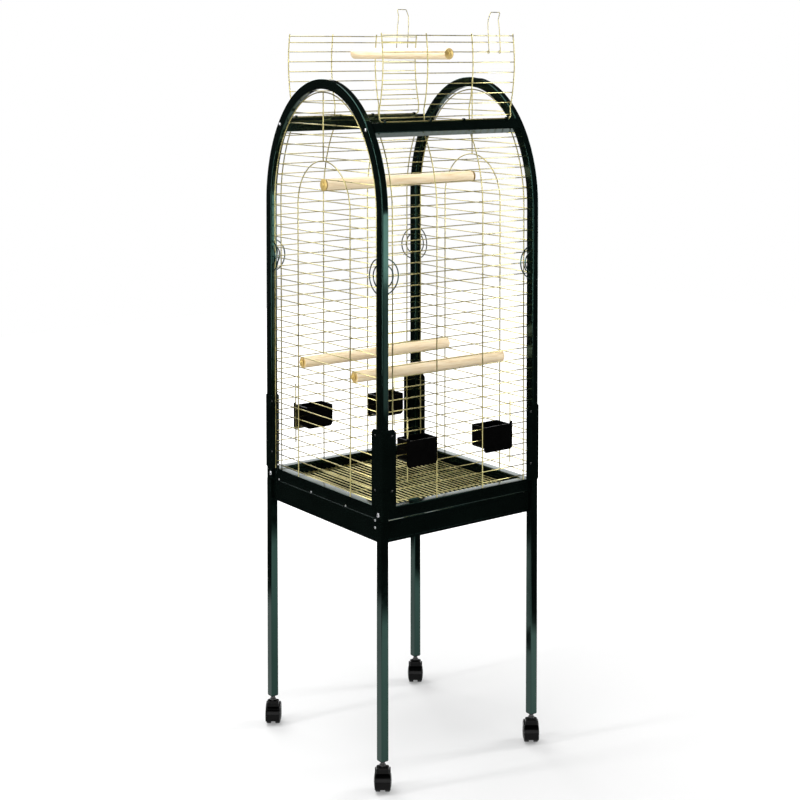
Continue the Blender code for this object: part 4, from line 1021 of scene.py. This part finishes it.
def cups(plastic):
    low_x = CUP_UPRIGHT_X + CAD_UPRIGHT_HALF + CUP_SIDE_GAP
    high_x = CUP_STUB_X - CAD_UPRIGHT_HALF - CUP_SIDE_GAP
    floor = FIRST_ROW + (CUP_CUT_ROWS[0] - 1) * ROW_PITCH + CAD_ROW_HALF + FIT
    plate_in = PANEL_Y + CAD_LAYER + CAD_UPRIGHT_HALF + FIT
    inner_y = PANEL_Y - CUP_DEPTH
    plate_low = CUP_UPRIGHT_X + CAD_UPRIGHT_HALF + FIT
    plate_high = CUP_STUB_X + CUP_PLATE_OVER
    top = CUP_TOP - FIT
    trough = []
    for wall in (0, CUP_WALL):
        left, right, bottom = low_x + wall, high_x - wall, floor + wall
        chain = [(left, top), (left, bottom), (right, bottom), (right, top)]
        trough.append(softened(chain, CUP_CORNER - wall, 8))
    mid, rim = CUP_WALL / 2, top - 0.0010
    bead = softened([(low_x + mid, plate_in, rim), (low_x + mid, inner_y + mid, rim),
                     (high_x - mid, inner_y + mid, rim), (high_x - mid, plate_in, rim)], 0.003, 4)
    plate = rounded([(plate_low, CUP_TOP), (plate_low, CUP_PLATE_LOW), (plate_high, CUP_PLATE_LOW),
                     (plate_high, CUP_TOP + CUP_EAR), (plate_high - CUP_EAR, CUP_TOP + CUP_EAR),
                     (plate_high - CUP_EAR * 1.5, CUP_TOP)], [0.002, 0.008, 0.008, 0.002, 0.002, 0.001], 6)
    for place, (sx, sy) in CORNERS.items():
        shape = Shape()
        shape.strip(*trough, lambda a, b, h: Vector((sx * a, sy * h, b)), inner_y + 0.001, plate_in + 0.0005)
        shape.prism([(sx * a, sy * inner_y, b) for a, b in trough[0]], (0, sy * CUP_WALL, 0), 0.0007)
        shape.tube([(sx * p.x, sy * p.y, p.z) for p in bead], CUP_BEAD, 10)
        shape.prism([(sx * a, sy * plate_in, b) for a, b in plate], (0, sy * CUP_WALL, 0), 0.0005)
        finish(f"seed_cup_{place}", shape, plastic, [f"cup_{place}"], f"cup_{place}")


def perch(name, body, wood, metal, axis, middle, ends, washers, w):
    """A dowel with eased ends. Its bolts and washers, of radius w, are a piece of their own."""
    shape = Shape()
    shape.peg(PERCH_RADIUS, *ends, 0.0006, 56, axis, middle)
    finish(f"{name}_dowel", shape, wood, [name], body, smooth=30)
    head = [(0.0025, 0), (w - 0.0002, 0), (w, 0.0002), (w, 0.0011), (w - 0.0003, 0.0013), (0.0042, 0.0013),
            (0.0042, 0.0024), (0.0036, 0.0036), (0.0022, 0.0042), (0, 0.0044)]
    bolts = Shape()
    for dowel, washer, sign in zip(ends, washers, (-1, 1)):
        if washer is None:
            continue
        root = dowel - sign * 0.001
        profile = [(0, root), (0.0025, root)] + [(radius, washer + sign * height) for radius, height in head]
        bolts.lathe(profile, 40, axis, middle)
    finish(f"{name}_bolts", bolts, metal, body=body)


def perches(wood_x, wood_y, metal):
    dowel = PANEL_X - CAD_ROW_HALF - FIT
    washer = PANEL_X + ROW_RADIUS + FIT
    for name, (y, row, size) in PERCHES.items():
        z = FIRST_ROW + (row + 0.5) * ROW_PITCH
        perch(name, "cage", wood_x, metal, ACROSS, (0, y, z), (-dowel, dowel), (-washer, washer), size)
    row = cad_flap_row(LATCH_ROW)
    axis = hinge_axis(1)
    out = axis.y + row.x
    z = axis.z + row.y - CAD_ROW_HALF - 0.0025 - FIT
    end = out - CAD_ROW_HALF - FIT
    perch("perch_top", "flap_front", wood_y, metal, BACK, (0, 0, z), (-end, end), (-(out + 0.0018), None),
          WASHER_RADIUS)


def screw(shape, at, axis, radius, height):
    """A domed screw head with a round socket."""
    socket = radius * 0.36
    profile = [(0, -0.0005), (radius, -0.0005), (radius, height * 0.25), (radius * 0.86, height * 0.72),
               (radius * 0.55, height), (socket, height), (socket, height * 0.35), (0, height * 0.35)]
    shape.lathe(profile, 28, axis, at)


def fasteners(steel, dark):
    """Screw heads on the corner plates and along the base, and bolts at the arch feet and the cross-bars."""
    face_x = ARCH_X + ARCH_THICK / 2
    skin = FIT + SHEET
    plates, base, bars = Shape(), Shape(), Shape()
    bolts = ((base, FOOT_BOLT_AT, 0.0052, 0.0026), (bars, BAR_BOLT_AT, 0.0045, 0.0022))
    for sx, sy in CORNERS.values():
        for z in PLATE_SCREW_Z:
            front = (sx * PLATE_SCREW_AT[0], sy * (ARCH_HALF_SPAN + skin), z)
            flank = (sx * (face_x + skin), sy * PLATE_SCREW_AT[1], z)
            screw(plates, front, (0, sy, 0), SCREW_RADIUS, 0.0012)
            screw(plates, flank, (sx, 0, 0), SCREW_RADIUS, 0.0012)
    for y in SEAM_SCREW_Y:
        for side in (-1, 1):
            screw(base, (side * RING_X, y, SEAM_SCREW_Z), (side, 0, 0), SCREW_RADIUS, 0.0014)
    for side in (-1, 1):
        for z in FRONT_SCREW_Z:
            screw(base, (side * RING_X, FRONT_SCREW_Y, z), (side, 0, 0), 0.0030, 0.0015)
        for end in (-1, 1):
            for shape, (y, z), *head in bolts:
                screw(shape, (side * face_x, end * y, z), (side, 0, 0), *head)
    finish("corner_screws", plates, dark)
    finish("seam_screws", base, steel)
    finish("bar_end_bolts", bars, steel)


# Stage

def floor_material():
    """White paper that keeps the object's shadow.

    In gloss it shows as far as its edge, brighter toward the front. Beyond the edge, and in one patch at the
    right, it is dark. A tongue of it at the back right lights the cross-bars' undersides.
    """
    made, tree, shader = shader_of("studio_floor")
    shader.inputs["Roughness"].default_value = 0.9
    shader.inputs["Specular IOR Level"].default_value = 0.0
    shader.inputs["Emission Color"].default_value = (1, 1, 1, 1)
    place = node(tree, "ShaderNodeTexCoord").outputs["Object"]
    split = node(tree, "ShaderNodeSeparateXYZ", [place]).outputs
    ray = node(tree, "ShaderNodeLightPath").outputs
    reach = node(tree, "ShaderNodeVectorMath", [place], "LENGTH").outputs["Value"]
    lean = node(tree, "ShaderNodeVectorMath", [place, PAPER_LEAN], "DOT_PRODUCT").outputs["Value"]
    patch = times(tree, spread(tree, split["X"], 0.0, 1.0, *DARK_FROM_X),
                  spread(tree, split["Y"], 1.0, 0.0, *DARK_TO_Y))
    tongue = times(tree, spread(tree, split["X"], 0.0, 1.0, *TONGUE_FROM_X),
                   spread(tree, split["Y"], 0.0, 1.0, *TONGUE_FROM_Y))
    edge = reckon(tree, "MAXIMUM", spread(tree, reach, 0.0, 1.0, *PAPER_EDGE), patch)
    past = spread(tree, reckon(tree, "SUBTRACT", edge, tongue), 0.0, 1.0, 0.0, 1.0)
    glow = times(tree, spread(tree, lean, PAPER_GLOSS, 0.0, *PAPER_LEAN_SPAN),
                 spread(tree, past, 1.0, 0.0, 0.0, 1.0))
    in_gloss = times(tree, ray["Is Glossy Ray"], glow)
    in_view = times(tree, ray["Is Camera Ray"], spread(tree, reach, PAPER_NEAR, 1.0, *PAPER_SEEN))
    dark = times(tree, ray["Is Glossy Ray"], past)
    feed(tree, shader.inputs["Base Color"], ramp(tree, dark, [(0.0, (0.5,) * 3), (1.0, (0.01,) * 3)]))
    feed(tree, shader.inputs["Emission Strength"], reckon(tree, "ADD", in_view, in_gloss))
    return made


def stage():
    """The floor, and a world that is white to the camera and a bright backdrop in a dark room to gloss."""
    mesh = bpy.data.meshes.new("floor")
    corners = [(x * FLOOR_HALF, y * FLOOR_HALF, 0) for x, y in ((-1, -1), (1, -1), (1, 1), (-1, 1))]
    mesh.from_pydata(corners, [], [(0, 1, 2, 3)])
    mesh.materials.append(floor_material())
    floor = add_object("floor", mesh)

    world = bpy.data.worlds.new("studio")
    bpy.context.scene.world = world
    world.use_nodes = True
    tree = world.node_tree
    background = tree.nodes["Background"]
    background.inputs["Color"].default_value = (1, 1, 1, 1)
    ray = node(tree, "ShaderNodeLightPath").outputs
    way = node(tree, "ShaderNodeTexCoord").outputs["Generated"]
    facing = node(tree, "ShaderNodeVectorMath", [way, BACKDROP_WAY], "DOT_PRODUCT").outputs["Value"]
    backdrop = spread(tree, facing, ROOM_LEVEL, BACKDROP_LEVEL, *BACKDROP_EDGE)
    shown = reckon(tree, "MAXIMUM", ray["Is Camera Ray"], ray["Is Transmission Ray"])
    plain_level = spread(tree, shown, SOFT_LEVEL, 1.0, 0.0, 1.0)
    level = node(tree, "ShaderNodeMix", Factor=ray["Is Glossy Ray"], A=plain_level, B=backdrop)
    feed(tree, background.inputs["Strength"], level.outputs["Result"])


def lamp(name, at, target, width, height, power):
    light = bpy.data.lights.new(name, "AREA")
    light.shape = "RECTANGLE"
    light.size = width
    light.size_y = height
    light.energy = power
    made = add_object(name, light)
    made.location = at
    made.rotation_euler = (Vector(target) - Vector(at)).to_track_quat("-Z", "Y").to_euler()


def camera():
    data = bpy.data.cameras.new("camera")
    data.sensor_width = 36.0
    data.lens = 36.0 * FOCAL_PX / IMAGE_PX
    data.shift_x = -(CENTRE_PX[0] - IMAGE_PX / 2) / IMAGE_PX
    data.shift_y = (CENTRE_PX[1] - IMAGE_PX / 2) / IMAGE_PX
    data.clip_end = 50
    made = add_object("camera", data)
    made.location = CAMERA_AT + SHIFT
    made.rotation_euler = (pi / 2 + CAMERA_PITCH, 0, CAMERA_YAW)
    bpy.context.scene.camera = made


enamel = (enamel_material(), "enamel")
wire = (wire_material("brass_wire", (0.55, 0.48, 0.20), (0.68, 0.61, 0.30)), "wire")
fitting = (wire_material("brass_fitting", (0.60, 0.42, 0.13), (0.74, 0.56, 0.20),
                         (0.36, 0.52), 0.55), "wire")
cup_plastic = (plastic_material("cup_plastic", (0.0008,) * 3, (0.0013,) * 3,
                                (0.15, 0.22), 500, 0.10), "plastic")
wheel_plastic = (plastic_material("wheel_plastic", (0.0012, 0.0018, 0.0016), (0.0019, 0.0028, 0.0025),
                                  (0.21, 0.28), 700, 0.07), "plastic")
steel = (steel_material("bright_steel", (0.42, 0.42, 0.44), (0.66, 0.66, 0.68), (0.22, 0.40)), "steel")
dark_steel = (steel_material("dark_steel", (0.05,) * 3, (0.10,) * 3, (0.27, 0.45)), "steel")
wood_x = (wood_material("dowel_across", 0), "wood")
wood_y = (wood_material("dowel_lengthwise", 1), "wood")

legs(enamel, cup_plastic)
casters(wheel_plastic, cup_plastic, dark_steel)
base_ring(enamel)
skirts(enamel)
drawer(enamel)
grate(wire)
rim_clip(enamel)
arches(enamel)
cross_bars(enamel)
brackets(enamel)
end_panels(wire)
side_panels(wire)
flaps(wire)
latches(wire)
cups(cup_plastic)
perches(wood_x, wood_y, fitting)
fasteners(steel, dark_steel)

stage()
lamp("key", (-2.9, -3.9, 1.7), (0, 0, 1.2), 2.4, 2.8, 62)
lamp("left_strip", (-3.2, 0.6, 1.6), (0, 0, 1.0), 0.35, 2.6, 60)
lamp("right_strip", (3.2, -1.2, 1.6), (0, 0, 1.0), 0.6, 2.6, 80)
lamp("overhead", (-0.9, 0, 3.6), (-0.9, 0, 0), 2.6, 2.4, 80)
lamp("back_top", (0.2, 3.2, 3.0), (0, 0, 0.8), 2.6, 1.8, 90)
lamp("post_light", (0.97, -1.85, 1.07), (-0.23, -0.24, 1.2), 0.42, 0.30, 1.9)
lamp("post_light_low", (0.97, -1.85, 0.69), (-0.23, -0.24, 1.0), 0.42, 0.46, 0.45)
camera()
bpy.context.scene.view_settings.view_transform = "Standard"
